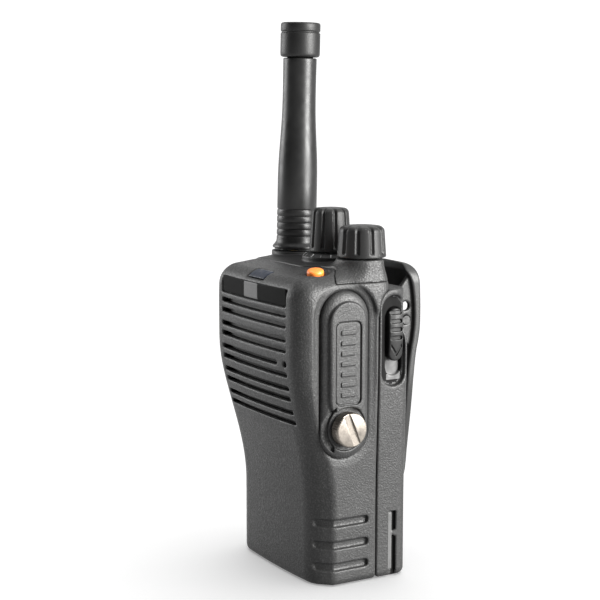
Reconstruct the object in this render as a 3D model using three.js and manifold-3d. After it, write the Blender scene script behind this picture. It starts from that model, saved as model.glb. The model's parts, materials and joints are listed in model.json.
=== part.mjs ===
// A hand-held two-way radio for emergency crews: casing, top controls, screw-on antenna, accessory cover held by a
// thumbscrew, clip-on battery with two sliding latches, and a sprung belt clip on the battery's back.
// Millimetres. +Z is up, -Y is the side with the loudspeaker grille, +X is the side with the accessory cover.
// The origin is the middle of the flat underside that the radio stands on.

import * as THREE from "three";
import { mergeVertices } from "three/addons/utils/BufferGeometryUtils.js";
import Module from "manifold-3d";

const wasm = await Module();
wasm.setup();

// ---------------------------------------------------------------- driving dimensions

const gap = 0.3; // clearance between pieces that touch
const wall = 2.2; // casing wall

// casing
const gripHalfWidth = 29.3; // half the width at the hand grip
const headHalfWidth = 30.5; // half the width across the loudspeaker
const gripFront = 18.2; // how far the front stands forward of the origin at the grip
const headFront = 26.9; // and at the loudspeaker
const waistLow = 26; // height where the front starts to swell out
const waistHigh = 80; // height where it is fully out
const crown = 1.0; // how much the front bows out across its width
const cornerRadius = 6.4;
const baseRound = 2.4; // rounding of the bottom edge
const seam = 5.3; // the parting plane between casing and battery
const headBack = 10.3; // back of the casing above the battery
const headBackRadius = 5;
const deck = 102; // height of the casing's deck, under the control panel
const browFront = 20.4; // where the rounding over the front ends
const browTop = 104.6; // height there
const topSlope = 0.125; // rise of the top per millimetre towards the back
const panelFront = 10.8; // front edge of the control panel
const panelStep = 0.3; // the control panel stands this far above the brow
const crownTop = 107; // top of the brow on the centre line
const crownDrop = 1; // how much the top falls from the middle to the sides
const shoulderLow = 94; // the sides round in above this height
const shoulderHigh = 106;
const shoulderIn = 6;

// battery
const batteryBack = 17.9;
const batteryBackRadius = 3;
const batteryTop = 99.4;
const batteryRound = 5.6; // rounding of its top edges
const batteryWall = 1.8;

// grille
const slotHalf = 22.6; // half the length of a grille slot
const slotHeight = 1.5;
const slotPitch = 3.55; // between the two slots of a pair
const pairPitch = 8.2;
const pairs = 5;
const grilleTop = 92.4; // height of the top slot
const micX = 21.6;
const micHole = 0.9; // radius

// name plate
const plateHalf = 22.6;
const plateLow = 94.9;
const plateHigh = 101.2;
const plateDeep = 0.9;

// indicator lens on the brow
const ledHalf = 5.6;
const ledLow = 101.8;
const ledBack = 20.2; // where it ends on the top
const ledDeep = 1.3;

// top controls
const controlY = 3.6; // row of knobs and antenna
const antennaX = -22;
const channelX = 1.8;
const volumeX = 22;
const antennaLean = (1.4 * Math.PI) / 180; // the whip leans back a little
const antennaFoot = 108.9; // underside of the whip's collar
const volumeBase = 110; // underside of the volume knob
const volumeRadius = 8.2;
const volumeHeight = 10.7;
const channelBase = 110;
const channelRadius = 7.3;
const channelHeight = 15.1;
const dialRadius = 9.8; // the marked ring under the channel knob
const bossClearance = 0.4;
const shaftRadius = 3;
const potHalf = 3.9;
const potLow = 101.5;
const potHigh = 105.8;
const flutes = 10;

// buttons
const alarmAt = new THREE.Vector3(20.4, -13.4, 105.3); // where its axis meets the brow
const alarmNormal = new THREE.Vector3(0.17, -0.14, 0.975).normalize();
const alarmRadius = 2.8;
const alarmProud = 1.3;
const pttLow = 61;
const pttHigh = 85;
const pttY = -9;
const pttHalf = 5.4;
const pttProud = 1.6;
const sideButtonHeights = { side_button_upper: 92.5, side_button_lower: 53.5 };
const sideButtonRadius = 3.4;
const buttonClearance = 0.35;
const buttonFlange = 1.0;

// accessory cover
const coverY = -7.8;
const coverDeep = 0.7; // its pocket goes this far into the casing's side at its narrower end
const rimProud = 1.6; // its rim stands this far off the side there
const padProud = 3.1; // and its raised pad this far
const coverHalf = 9.4;
const coverLow = 43.6;
const coverHigh = 100.4;
const padHalf = 6.9;
const padHigh = 96.4;
const badgeHalf = 4.9;
const badgeLow = 62.5;
const badgeHigh = 90.2;
const badgeDeep = 0.7;
const screwZ = 54.4;
const screwHead = 5.8; // radius
const screwProud = 5.7; // its head ends this far off the side
const screwSeat = 7.4; // radius of the round seat under the head
const screwSeatProud = 1.3;
const screwShank = 1.9;
const insertRadius = 3.2;
const insertLong = 4.55;
const socketDeep = 4.8; // the accessory socket's block
const coverBacking = 3.2; // casing left behind the cover's pocket

// grip grooves
const grooveHeights = [6.6, 14.1, 21.7];
const grooveHigh = 2.6;
const grooveDeep = 0.9;
const grooveBack = 2.2; // where they end on the side
const grooveFront = 23.4; // where they end on the front

// battery latches
const latchY = 12.4;
const latchHalf = 3.1;
const latchLow = 75;
const latchHigh = 93.2;
const latchTravel = 5.2;
const latchDeep = 2.6;
const latchSunk = 0.6; // its face lies this far below the side
const latchFace = headHalfWidth - latchSunk;

// belt clip
const clipPivotOut = 6.1; // from the battery's back to the pin
const clipPivotY = batteryBack + clipPivotOut;
const clipPivotZ = 86.5;
const clipHalf = 20;
const clipPinRadius = 1.5;
const earOut = 18.4; // outer face of the lever's ears
const earThick = 1.6;
const knuckleOut = 8.6;
const knuckleThick = 2;
const lanyardHole = 1.6; // radius
const strapSlotHalf = 16.2;
const strapSlotLow = 88.4;
const strapSlotHigh = 92.4;
const bracketThick = 1.8;
const bracketFace = batteryBack + gap + bracketThick;
const clipScrewX = 7;
const clipScrewZ = 68;

const steel = new THREE.MeshStandardMaterial({ color: 0xd8d4cc, roughness: 0.25, metalness: 1 });
const brass = new THREE.MeshStandardMaterial({ color: 0xc9a45a, roughness: 0.35, metalness: 1 });
const casing = new THREE.MeshStandardMaterial({ color: 0x3d3e3c, roughness: 0.62, metalness: 0 });
const satin = new THREE.MeshStandardMaterial({ color: 0x343533, roughness: 0.45, metalness: 0 });
const knobBlack = new THREE.MeshStandardMaterial({ color: 0x323331, roughness: 0.38, metalness: 0 });
const rubber = new THREE.MeshStandardMaterial({ color: 0x1f201f, roughness: 0.55, metalness: 0 });
const orange = new THREE.MeshStandardMaterial({ color: 0xf07a2c, roughness: 0.4, metalness: 0 });
const lensBlue = new THREE.MeshStandardMaterial({ color: 0x7d8797, roughness: 0.2, metalness: 0 });
const grey = new THREE.MeshStandardMaterial({ color: 0x8d8c84, roughness: 0.5, metalness: 0 });
const board = new THREE.MeshStandardMaterial({ color: 0x1c5a38, roughness: 0.5, metalness: 0 });
const alloy = new THREE.MeshStandardMaterial({ color: 0x9a9c9e, roughness: 0.45, metalness: 1 });
const cellGreen = new THREE.MeshStandardMaterial({ color: 0x2f7f6f, roughness: 0.4, metalness: 0 });

// ---------------------------------------------------------------- solids from three.js geometry

function solid(geometry) {
  const bare = geometry.index ? geometry.toNonIndexed() : geometry.clone();
  bare.deleteAttribute("normal");
  bare.deleteAttribute("uv");
  const merged = mergeVertices(bare, 1e-4);
  return new wasm.Manifold(
    new wasm.Mesh({
      numProp: 3,
      vertProperties: merged.attributes.position.array,
      triVerts: new Uint32Array(merged.index.array),
    }),
  );
}

function geometryOf(made) {
  const mesh = made.getMesh();
  const geometry = new THREE.BufferGeometry();
  geometry.setAttribute("position", new THREE.BufferAttribute(new Float32Array(mesh.vertProperties), 3));
  geometry.setIndex(new THREE.BufferAttribute(new Uint32Array(mesh.triVerts), 1));
  geometry.computeVertexNormals();
  return geometry;
}

function join(solids) {
  return solids.reduce((whole, next) => whole.add(next));
}

function cut(body, tools) {
  return tools.reduce((left, tool) => left.subtract(tool), body);
}

const smooth = (low, high, value) => THREE.MathUtils.smoothstep(value, low, high);

// A box between two corners.
function box(x0, x1, y0, y1, z0, z1) {
  const geometry = new THREE.BoxGeometry(x1 - x0, y1 - y0, z1 - z0);
  return solid(geometry.translate((x0 + x1) / 2, (y0 + y1) / 2, (z0 + z1) / 2));
}

// A flat shape drawn in (y, z) and swept from x0 to x1.
function prismX(shape, x0, x1, segments = 4) {
  const geometry = new THREE.ExtrudeGeometry(shape, {
    depth: x1 - x0,
    bevelEnabled: false,
    curveSegments: segments,
  });
  const turn = new THREE.Matrix4().makeBasis(
    new THREE.Vector3(0, 1, 0),
    new THREE.Vector3(0, 0, 1),
    new THREE.Vector3(1, 0, 0),
  );
  return solid(geometry.applyMatrix4(turn).translate(x0, 0, 0));
}

// A flat shape drawn in (x, z) and swept from y0 to y1.
function prismY(shape, y0, y1, segments = 4) {
  const geometry = new THREE.ExtrudeGeometry(shape, {
    depth: y1 - y0,
    bevelEnabled: false,
    curveSegments: segments,
  });
  return solid(geometry.rotateX(Math.PI / 2).translate(0, y1, 0));
}

// A flat shape drawn in (x, y) and swept from z0 to z1.
function prismZ(shape, z0, z1, segments = 4) {
  const geometry = new THREE.ExtrudeGeometry(shape, {
    depth: z1 - z0,
    bevelEnabled: false,
    curveSegments: segments,
  });
  return solid(geometry.translate(0, 0, z0));
}

// A closed [radius, height] profile turned about the Z axis.
function turned(profile, segments = 16) {
  const points = profile.map(([radius, height]) => new THREE.Vector2(radius, height));
  if (THREE.ShapeUtils.area(points) < 0) points.reverse();
  return solid(new THREE.LatheGeometry(points, segments).rotateX(Math.PI / 2));
}

function rod(radius, z0, z1, segments = 16) {
  const geometry = new THREE.CylinderGeometry(radius, radius, z1 - z0, segments);
  return solid(geometry.rotateX(Math.PI / 2).translate(0, 0, (z0 + z1) / 2));
}

function ring(inner, outer, z0, z1, segments = 16) {
  return turned([[inner, z0], [outer, z0], [outer, z1], [inner, z1], [inner, z0]], segments);
}

// Turns a solid whose axis is Z so that it lies along X.
const alongX = (made) => made.rotate([0, 90, 0]);
// Turns a solid whose axis is Z so that its top faces -Y.
const facingFront = (made) => made.rotate([90, 0, 0]);

function roundedRect(x0, x1, y0, y1, radius) {
  const shape = new THREE.Shape();
  const r = Math.min(radius, (x1 - x0) / 2, (y1 - y0) / 2);
  shape.absarc(x1 - r, y1 - r, r, 0, Math.PI / 2);
  shape.absarc(x0 + r, y1 - r, r, Math.PI / 2, Math.PI);
  shape.absarc(x0 + r, y0 + r, r, Math.PI, 1.5 * Math.PI);
  shape.absarc(x1 - r, y0 + r, r, 1.5 * Math.PI, 2 * Math.PI);
  shape.closePath();
  return shape;
}

function polygon(points) {
  return new THREE.Shape(points.map(([u, v]) => new THREE.Vector2(u, v)));
}

// ---------------------------------------------------------------- the swelling outline that casing and battery share

const swell = (z) => smooth(waistLow, waistHigh, z);
const halfWidth = (z) => THREE.MathUtils.lerp(gripHalfWidth, headHalfWidth, swell(z));
const narrowHalf = Math.min(gripHalfWidth, headHalfWidth); // the flat pieces inside fit the narrower end
const coverSide = Math.min(halfWidth(coverLow), halfWidth(coverHigh));
const coverFloor = coverSide - coverDeep;
const coverBase = coverSide + rimProud;
const coverTop = coverSide + padProud;
const screwSeatFace = coverSide + screwSeatProud;
const screwHeadOut = coverSide + screwProud;

// How far the shoulders have rounded in at a height.
function shoulder(z) {
  const share = THREE.MathUtils.clamp((z - shoulderLow) / (shoulderHigh - shoulderLow), 0, 0.98);
  return shoulderIn * (1 - Math.sqrt(1 - share ** 2));
}

const front = (z) => THREE.MathUtils.lerp(gripFront, headFront, swell(z));
const levels = [28, 38, 48, 58, 68, 79, 94, 98.1, 100.3, 102.2, 103.6, 104.5, 105.4];

function arc(cx, cy, radius, from, to, steps) {
  return Array.from({ length: steps + 1 }, (_, i) => {
    const angle = from + ((to - from) * i) / steps;
    return [cx + radius * Math.cos(angle), cy + radius * Math.sin(angle)];
  });
}

// How far the front has rounded back at a height.
function brow(z) {
  const radius = headFront - browFront;
  const rise = THREE.MathUtils.clamp(z - (browTop - radius), 0, radius * 0.98);
  return radius - Math.sqrt(radius ** 2 - rise ** 2);
}

// The casing's outline at a height, moved in by inset. It is counter-clockwise and convex.
function casingRing(z, inset) {
  const w = halfWidth(z) - shoulder(z) - inset;
  const f = front(z) - brow(z) - inset;
  const r = Math.max(cornerRadius - inset * 0.6 - brow(z) * 0.5, 2.5);
  const back = headBack - inset;
  const rearRadius = Math.max(headBackRadius - inset, 0.5);
  const flat = w - r;
  const bow = Array.from({ length: 3 }, (_, i) => {
    const x = -flat + (2 * flat * (i + 1)) / 4;
    return [x, -f + crown * (x / flat) ** 2];
  });
  return [
    ...arc(-flat, -f + crown + r, r, Math.PI, 1.5 * Math.PI, 3),
    ...bow,
    ...arc(flat, -f + crown + r, r, 1.5 * Math.PI, 2 * Math.PI, 3),
    ...arc(w - rearRadius, back - rearRadius, rearRadius, 0, Math.PI / 2, 3),
    ...arc(-w + rearRadius, back - rearRadius, rearRadius, Math.PI / 2, Math.PI, 3),
  ];
}

// The battery's outline at a height, moved in by inset.
function batteryRing(z, inset) {
  const w = halfWidth(z) - inset;
  const back = batteryBack - inset;
  const r = Math.max(batteryBackRadius - inset, 0.6);
  return [
    [-w, seam + gap],
    [w, seam + gap],
    ...arc(w - r, back - r, r, 0, Math.PI / 2, 3),
    ...arc(-w + r, back - r, r, Math.PI / 2, Math.PI, 3),
  ];
}

// Skins a stack of rings, each with the same number of points, and closes both ends.
function loft(rings) {
  const count = rings[0].points.length;
  const positions = rings.flatMap(({ z, points }) => points.flatMap(([x, y]) => [x, y, z]));
  const index = [];
  for (let level = 0; level + 1 < rings.length; level++) {
    for (let i = 0; i < count; i++) {
      const a = level * count + i;
      const b = level * count + ((i + 1) % count);
      index.push(a, b, b + count, a, b + count, a + count);
    }
  }
  const top = (rings.length - 1) * count;
  for (let i = 1; i + 1 < count; i++) {
    index.push(0, i + 1, i, top, top + i, top + i + 1);
  }
  const geometry = new THREE.BufferGeometry();
  geometry.setAttribute("position", new THREE.Float32BufferAttribute(positions, 3));
  geometry.setIndex(index);
  return solid(geometry);
}

function stack(ringAt, inset, low, high) {
  const inside = levels.filter((z) => z > low + 0.01 && z < high);
  const rings = [low, ...inside, high].map((z) => ({ z, points: ringAt(z, inset) }));
  return rings;
}

// The outline with its bottom edge rounded off.
function roundedStack(ringAt, high) {
  const foot = [0, 0.35, 0.65].map((share) => {
    const drop = baseRound * (1 - Math.sqrt(1 - (1 - share) ** 2));
    return { z: baseRound * share, points: ringAt(0, drop) };
  });
  return loft([...foot, ...stack(ringAt, 0, baseRound, high)]);
}

// ---------------------------------------------------------------- casing

// The side view of the casing: front rounding over the brow, sloping top, and the step above the battery.
function casingSide() {
  const r = headFront - browFront;
  const shape = new THREE.Shape();
  shape.moveTo(-60, -1);
  shape.lineTo(seam, -1);
  shape.lineTo(seam, batteryTop - batteryRound);
  shape.absarc(seam + gap + batteryRound, batteryTop - batteryRound, batteryRound + gap, Math.PI, Math.PI / 2, true);
  shape.lineTo(headBack + 5, batteryTop + gap);
  shape.lineTo(headBack + 5, browTop + topSlope * (headBack + 5 + browFront));
  shape.lineTo(-browFront, browTop);
  shape.absarc(-browFront, browTop - r, r, Math.PI / 2, Math.PI);
  shape.lineTo(-60, browTop - r);
  return shape;
}

// The front view of the top: highest in the middle, falling to the sides.
function archShape(height, drop) {
  const points = [[-60, -5], [60, -5]];
  for (let i = 0; i <= 8; i++) {
    const x = 40 - (80 * i) / 8;
    points.push([x, height - drop * (x / headHalfWidth) ** 2]);
  }
  return polygon(points);
}

function grooves() {
  return grooveHeights.flatMap((z) => {
    const high = grooveHigh / 2;
    const bar = prismY(roundedRect(grooveFront, 60, z - high, z + high, high), -60, grooveBack, 2);
    const core = stack(casingRing, grooveDeep, -5, 60);
    const right = bar.subtract(loft(core));
    return [right, right.mirror([1, 0, 0])];
  });
}

function slotTool(z, x0, x1) {
  const high = slotHeight / 2;
  return prismY(roundedRect(x0, x1, z - high, z + high, high), -40, -12, 2);
}

function grilleTools() {
  const tools = [];
  for (let pair = 0; pair < pairs; pair++) {
    for (let row = 0; row < 2; row++) {
      const z = grilleTop - pair * pairPitch - row * slotPitch;
      const short = pair === 2 && row === 0;
      tools.push(slotTool(z, -slotHalf, short ? slotHalf - 6 : slotHalf));
    }
  }
  const micZ = grilleTop - 2 * pairPitch;
  tools.push(facingFront(rod(micHole, 12, 40, 10)).translate([micX, 0, micZ]));
  return tools;
}

const coverOutline = (grow) =>
  roundedRect(coverY - coverHalf - grow, coverY + coverHalf + grow, coverLow - grow, coverHigh + grow, 30);
const buttonAxis = new THREE.Quaternion().setFromUnitVectors(new THREE.Vector3(0, 0, 1), alarmNormal);
const buttonAngles = new THREE.Euler().setFromQuaternion(buttonAxis, "ZYX");

// Puts a solid whose axis is Z onto the alarm button's axis.
function onBrow(made) {
  const degrees = THREE.MathUtils.radToDeg;
  const { x, y, z } = buttonAngles;
  return made.rotate([degrees(x), degrees(y), degrees(z)]).translate(alarmAt.toArray());
}

const alarmIsland = (grow) => onBrow(rod(alarmRadius + 1.9 + grow, -12, 12));

const plateShape = (shrink) =>
  roundedRect(-plateHalf + shrink, plateHalf - shrink, plateLow + shrink, plateHigh - shrink, 0.6);

// The indicator lens wraps over the brow, so its pocket follows the brow's rounding to a depth.
function browPocket(shrink, depth) {
  const r = headFront - browFront - depth;
  const core = new THREE.Shape();
  core.moveTo(-browFront - r, 60);
  core.lineTo(20, 60);
  core.lineTo(20, browTop - depth + topSlope * (browFront + 20));
  core.lineTo(-browFront, browTop - depth);
  core.absarc(-browFront, browTop - depth - r, r, Math.PI / 2, Math.PI);
  core.closePath();
  const block = box(-ledHalf + shrink, ledHalf - shrink, -60, -ledBack - shrink, ledLow + shrink, 120);
  return block.subtract(prismX(core, -20, 20, 8));
}

const pttShape = (grow) =>
  roundedRect(pttY - pttHalf - grow, pttY + pttHalf + grow, pttLow - grow, pttHigh + grow, 3 + grow);

// A pocket cut into the front to a depth measured square to the crowned face.
function frontPocket(shape, depth) {
  return prismY(shape, -60, 0, 3).subtract(loft(stack(casingRing, depth, 40, 118)));
}

function casingSolid() {
  const skin = roundedStack(casingRing, 118);
  const top = prismY(archShape(crownTop, crownDrop), -60, 60);
  const outer = skin.intersect(prismX(casingSide(), -60, 60)).intersect(top);
  const cavity = loft(stack(casingRing, wall, wall, deck - wall)).intersect(
    prismX(
      polygon([
        [-60, 0],
        [60, 0],
        [60, batteryTop - batteryRound - wall],
        [seam - wall, batteryTop - batteryRound - wall],
        [seam - wall, deck + 5],
        [-browFront - 1, deck + 5],
        [-60, browTop - 8],
      ]),
      -60,
      60,
    ),
  );
  const thickSide = box(coverFloor - coverBacking, 60, coverY - 12, seam - 3, coverLow - 2, 103);
  const hollow = cavity.subtract(thickSide);
  const deckCut = box(-60, 60, -panelFront - gap, 60, deck, 140);
  const pots = [channelX, volumeX].map((x) =>
    box(x - potHalf - 0.5, x + potHalf + 0.5, controlY - potHalf - 0.5, controlY + potHalf + 0.5, 90, deck + 1),
  );
  const tools = [
    hollow,
    deckCut.subtract(alarmIsland(0)),
    ...pots,
    rod(3.8, 90, 120).translate([antennaX, controlY, 0]),
    ...grooves(),
    ...grilleTools(),
    frontPocket(plateShape(0), plateDeep),
    browPocket(0, ledDeep),
    prismX(coverOutline(0), coverFloor, 60, 6),
    box(20, 60, coverY - 4.6, coverY + 4.6, 65, 88),
    alongX(rod(insertRadius + 0.1, 20, 60)).translate([0, coverY, screwZ]),
    prismX(pttShape(buttonClearance), -60, -20, 4),
    ...Object.values(sideButtonHeights).map((z) =>
      alongX(rod(sideButtonRadius + buttonClearance, -60, -20)).translate([0, pttY, z]),
    ),
    onBrow(rod(alarmRadius + buttonClearance, -9, 6)),
    onBrow(rod(alarmRadius + buttonFlange + buttonClearance, -9, -1.9)),
  ];
  return cut(outer, tools);
}

// The flat frame that closes the back of the casing and carries the electronics.
function chassisSolid() {
  const w = narrowHalf - wall - gap;
  const low = wall + gap;
  const high = batteryTop - batteryRound - wall - gap;
  const plate = prismY(roundedRect(-w, w, low, high, 3), seam - 2.4, seam, 3);
  const rim = Math.min(w - 2, coverFloor - coverBacking - gap);
  const rib = prismY(roundedRect(-rim, rim, low + 2, high - 2, 2), seam - 5, seam - 2.3, 3);
  const hollow = prismY(roundedRect(-rim + 2, rim - 2, low + 4, high - 4, 1), seam - 8, seam - 2.4, 3);
  const screws = screwPlaces().map(([x, z]) =>
    facingFront(rod(1.4, -10, 10, 12).add(rod(2.4, -10, 1.8 - seam, 12))).translate([x, 0, z]),
  );
  const window = box(-9, 9, 0, 10, 12, 22);
  return cut(join([plate, rib.subtract(hollow)]), [...screws, window]);
}

const boardScrewPlaces = () => [[-19, 8], [19, 8], [-19, 88], [19, 88]];

function screwPlaces() {
  const x = narrowHalf - wall - 3.4;
  return [[-x, 7], [x, 7], [-x, 86], [x, 86]];
}

// A countersunk screw whose head faces +Y, with a cross recess.
function chassisScrew() {
  const head = turned([[0, 0], [2.1, 0], [2.1, -0.6], [1.1, -1.4], [1.1, -6], [0, -6]], 12);
  const cross = join([box(-1.2, 1.2, -0.3, 0.3, -0.5, 1), box(-0.3, 0.3, -1.2, 1.2, -0.5, 1)]);
  return head.subtract(cross).rotate([-90, 0, 0]);
}

// ---------------------------------------------------------------- control panel

function panelSolid() {
  const plan = stack(casingRing, 0, deck + gap, 118);
  const bossPlan = casingRing(90, 0);
  const bossClip = loft([{ z: 90, points: bossPlan }, { z: 118, points: bossPlan }]);
  const plate = loft(plan)
    .intersect(box(-60, 60, -panelFront, 60, deck + gap, 118))
    .intersect(prismX(casingSide(), -60, 60).translate([0, 0, panelStep]))
    .intersect(prismY(archShape(crownTop + 1.3, crownDrop), -60, 60));
  const volumeBoss = turned(
    [[0, deck + gap], [8.9, deck + gap], [8.2, volumeBase - bossClearance], [0, volumeBase - bossClearance]],
    24,
  )
    .translate([volumeX, controlY, 0]);
  const scale = turned(
    [[0, deck + gap], [dialRadius, deck + gap], [dialRadius, crownTop + 1.4], [dialRadius - 1.8, channelBase - bossClearance],
      [0, channelBase - bossClearance]],
    24,
  ).translate([channelX, controlY, 0]);
  const seat = rod(8.8, deck + gap, antennaFoot - 0.7).translate([antennaX, controlY, 0]);
  const under = [channelX, volumeX].map((x) =>
    box(x - potHalf - 0.5, x + potHalf + 0.5, controlY - potHalf - 0.5, controlY + potHalf + 0.5, 90, potHigh + gap),
  );
  const holes = [channelX, volumeX].map((x) => rod(shaftRadius + 0.4, 90, 130).translate([x, controlY, 0]));
  const whole = join([plate, volumeBoss, scale, seat]).intersect(bossClip);
  return cut(whole, [
    alarmIsland(gap),
    ...under,
    ...holes,
    rod(3.8, 90, 130).translate([antennaX, controlY, 0]),
  ]);
}

// A knob with a lobed skirt, open below, around a bore for its shaft.
function knobSolid(radius, height) {
  const top = radius - height * 0.07;
  const body = turned(
    [
      [0, 0],
      [radius - 0.5, 0],
      [radius, 0.5],
      [top, height - 1.6],
      [top - 0.5, height - 0.6],
      [top - 1.8, height],
      [0, height],
    ],
    20,
  );
  const tools = [rod(shaftRadius + 0.1, -1, height - 3, 12), ring(shaftRadius + 1.6, radius - 2, -1, height - 4, 12)];
  for (let i = 0; i < flutes; i++) {
    const angle = 15 + (360 * i) / flutes;
    const vee = box(-0.55, 0.55, -0.55, 0.55, 1.2, height + 2).rotate([0, 0, 45]);
    const lean = THREE.MathUtils.radToDeg(Math.atan2(radius - top, height));
    tools.push(vee.rotate([0, -lean, 0]).translate([radius + 0.15, 0, 0]).rotate([0, 0, angle]));
  }
  return cut(body, tools);
}

function potSolid() {
  const body = box(-potHalf, potHalf, -potHalf, potHalf, potLow, potHigh);
  return body.subtract(rod(shaftRadius + gap, potLow + 1, 130, 16));
}

function shaftSolid(top) {
  return rod(shaftRadius, potLow + 1.3, top, 12);
}

// ---------------------------------------------------------------- antenna, drawn about its own axis from its foot

function whipSolid() {
  const profile = [
    [0, 0], [8.4, 0], [8.4, 0.7], [7.1, 2.6], [7.05, 3.6],
    [6.6, 4.1], [7.05, 4.6], [7.05, 6.9], [6.6, 7.4], [7.05, 7.9],
    [7.05, 10.2], [6.6, 10.7], [7.05, 11.2], [7.05, 13.6], [6.6, 14.1], [7.05, 14.6],
    [7.05, 23], [6.85, 31], [6.45, 38], [6.05, 45], [5.9, 50], [5.95, 67.1], [4.6, 67.1], [4.6, 76.5], [0, 76.5],
  ];
  return turned(profile, 16).subtract(rod(2.2, -1, 10, 12));
}

function capSolid() {
  const profile = [
    [4.9, 67.4], [6.6, 67.4], [7, 67.9], [7, 75.6], [6.75, 75.9], [6.75, 76.3],
    [7, 76.6], [7, 79], [6.65, 79.4], [0, 79.4], [0, 76.8], [4.9, 76.8], [4.9, 67.4],
  ];
  return turned(profile, 16);
}

const studSolid = () => turned([[0, -6], [1.6, -6], [1.6, 2], [1.9, 2.3], [1.9, 9.5], [0, 9.5]], 12);
const socketSolid = () => ring(2.1, 3.5, 98.4, antennaFoot - 0.9, 20);
const gasketSolid = () => ring(4.2, 7.6, -0.42, -0.12, 16);

// ---------------------------------------------------------------- accessory cover

function coverSolid() {
  const inner = 0.3;
  const rim = prismX(coverOutline(-gap), coverFloor + inner, coverBase, 6);
  const lobe = roundedRect(
    coverY - padHalf, coverY + padHalf, screwZ + screwSeat - 3, padHigh, padHalf,
  );
  const pad = prismX(lobe, coverBase - 0.5, coverTop, 6);
  const seat = alongX(rod(screwSeat, screwSeatFace, 60, 20)).translate([0, coverY, screwZ]);
  const badge = prismX(
    roundedRect(coverY - badgeHalf, coverY + badgeHalf, badgeLow, badgeHigh, 1.8),
    coverTop - badgeDeep,
    60,
    4,
  );
  const bore = alongX(rod(screwShank + 0.35, 0, 60, 16)).translate([0, coverY, screwZ]);
  const clipPocket = alongX(rod(3.9, 0, coverFloor + inner + 0.9, 16)).translate([0, coverY, screwZ]);
  return cut(join([rim, pad]), [seat, badge, bore, clipPocket]);
}

function badgeSolid() {
  const shape = roundedRect(
    coverY - badgeHalf + gap, coverY + badgeHalf - gap, badgeLow + gap, badgeHigh - gap, 1.5,
  );
  return prismX(shape, coverTop - badgeDeep + 0.05, coverTop - 0.15, 4);
}

// The thumbscrew points along -X: a knurled slotted head and a plain shank.
function thumbscrewSolid() {
  const shank = rod(screwShank, 23.5, screwSeatFace + 0.5, 12);
  const head = turned(
    [
      [0, screwSeatFace + gap], [screwHead - 0.4, screwSeatFace + gap], [screwHead, screwSeatFace + gap + 0.4],
      [screwHead, screwHeadOut - 0.5], [screwHead - 0.5, screwHeadOut], [0, screwHeadOut],
    ],
    24,
  );
  const slot = box(-10, 10, -0.75, 0.75, screwHeadOut - 1.1, 60).rotate([0, 0, 22]);
  return alongX(join([shank, head]).subtract(slot));
}

const captiveClipSolid = () => alongX(ring(screwShank + 0.1, 3.3, coverFloor + 0.42, coverFloor + 1.0, 16));
const insertFace = coverFloor - 0.15;
const insertSolid = () => alongX(ring(screwShank + 0.2, insertRadius, insertFace - insertLong, insertFace, 20));

function socketBlockSolid() {
  const face = coverFloor - 0.7;
  const block = box(face - socketDeep, face, coverY - 4.2, coverY + 4.2, 65.4, 87.6);
  const pins = [];
  for (let row = 0; row < 6; row++) {
    for (const side of [-2, 2]) {
      const z = 67.9 + row * 3.45;
      pins.push(box(face - 0.6, face + 2, coverY + side - 0.7, coverY + side + 0.7, z - 0.7, z + 0.7));
    }
  }
  return cut(block, pins);
}

// ---------------------------------------------------------------- side buttons, on the -X side

function pttSolid() {
  const face = -halfWidth((pttLow + pttHigh) / 2) - pttProud;
  const inner = wall + gap - Math.min(halfWidth(pttLow - 2), halfWidth(pttHigh + 2));
  const pad = prismX(pttShape(0), face, inner + 0.1, 4);
  const flange = prismX(pttShape(buttonFlange), inner, inner + 1, 4);
  const dish = box(-60, face + 0.5, pttY - 2, pttY + 2, pttLow + 6, pttHigh - 6);
  return join([pad, flange]).subtract(dish);
}

function sideButtonSolid(height) {
  const face = halfWidth(height) + 1.1;
  const inner = Math.min(halfWidth(height - 5), halfWidth(height + 5)) - wall - gap;
  const cap = rod(sideButtonRadius, inner - 0.9, face, 20);
  const flange = rod(sideButtonRadius + buttonFlange, inner - 1.0, inner - 0.05, 20);
  return join([cap, flange]).rotate([0, -90, 0]);
}

const alarmSolid = () =>
  turned(
    [
      [0, -2.9], [alarmRadius + 0.9, -2.9], [alarmRadius + 0.9, -2.3], [alarmRadius, -2.3],
      [alarmRadius, alarmProud - 0.5], [alarmRadius - 0.5, alarmProud], [0, alarmProud],
    ],
    20,
  );

// ---------------------------------------------------------------- inside

function membraneSolid() {
  const outer = loft(stack(casingRing, wall + 0.3, 40, 100));
  const inner = loft(stack(casingRing, wall + 0.8, 40, 100));
  const window = prismY(roundedRect(-24, 24, 50.5, 94.6, 3), -60, -10, 3);
  return outer.subtract(inner).intersect(window);
}

const speakerZ = 73;
const speakerFront = 18.9;

function speakerFrameSolid() {
  const basket = turned(
    [[15.4, 0], [18, 0], [18, -1.4], [9.4, -4.4], [9.4, -5.4], [7.4, -5.4], [7.4, -4], [15.4, -1.4], [15.4, 0]],
    20,
  );
  return facingFront(basket).translate([0, -speakerFront, speakerZ]);
}

function speakerConeSolid() {
  const cone = turned([[0, -1.2], [3, -1.9], [6, -3.4], [15, -0.7], [15, -0.2], [6, -2.7], [3, -1.2], [0, -0.5]], 16);
  return facingFront(cone).translate([0, -speakerFront, speakerZ]);
}

function speakerMagnetSolid() {
  return facingFront(rod(8.4, -9.6, -5.7, 20)).translate([0, -speakerFront, speakerZ]);
}

const boardSolid = () =>
  cut(box(-22, 22, -7, -5.4, 5, 91), [
    box(-4, 4, -10, 0, 0, 9),
    ...boardScrewPlaces().map(([x, z]) => facingFront(rod(1.6, -10, 20, 10)).translate([x, 0, z])),
  ]);
const shieldSolid = () =>
  box(-17, 17, -5.1, -1.4, 30, 62).subtract(box(-16.6, 16.6, -6, -1.9, 30.4, 61.6));

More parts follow.
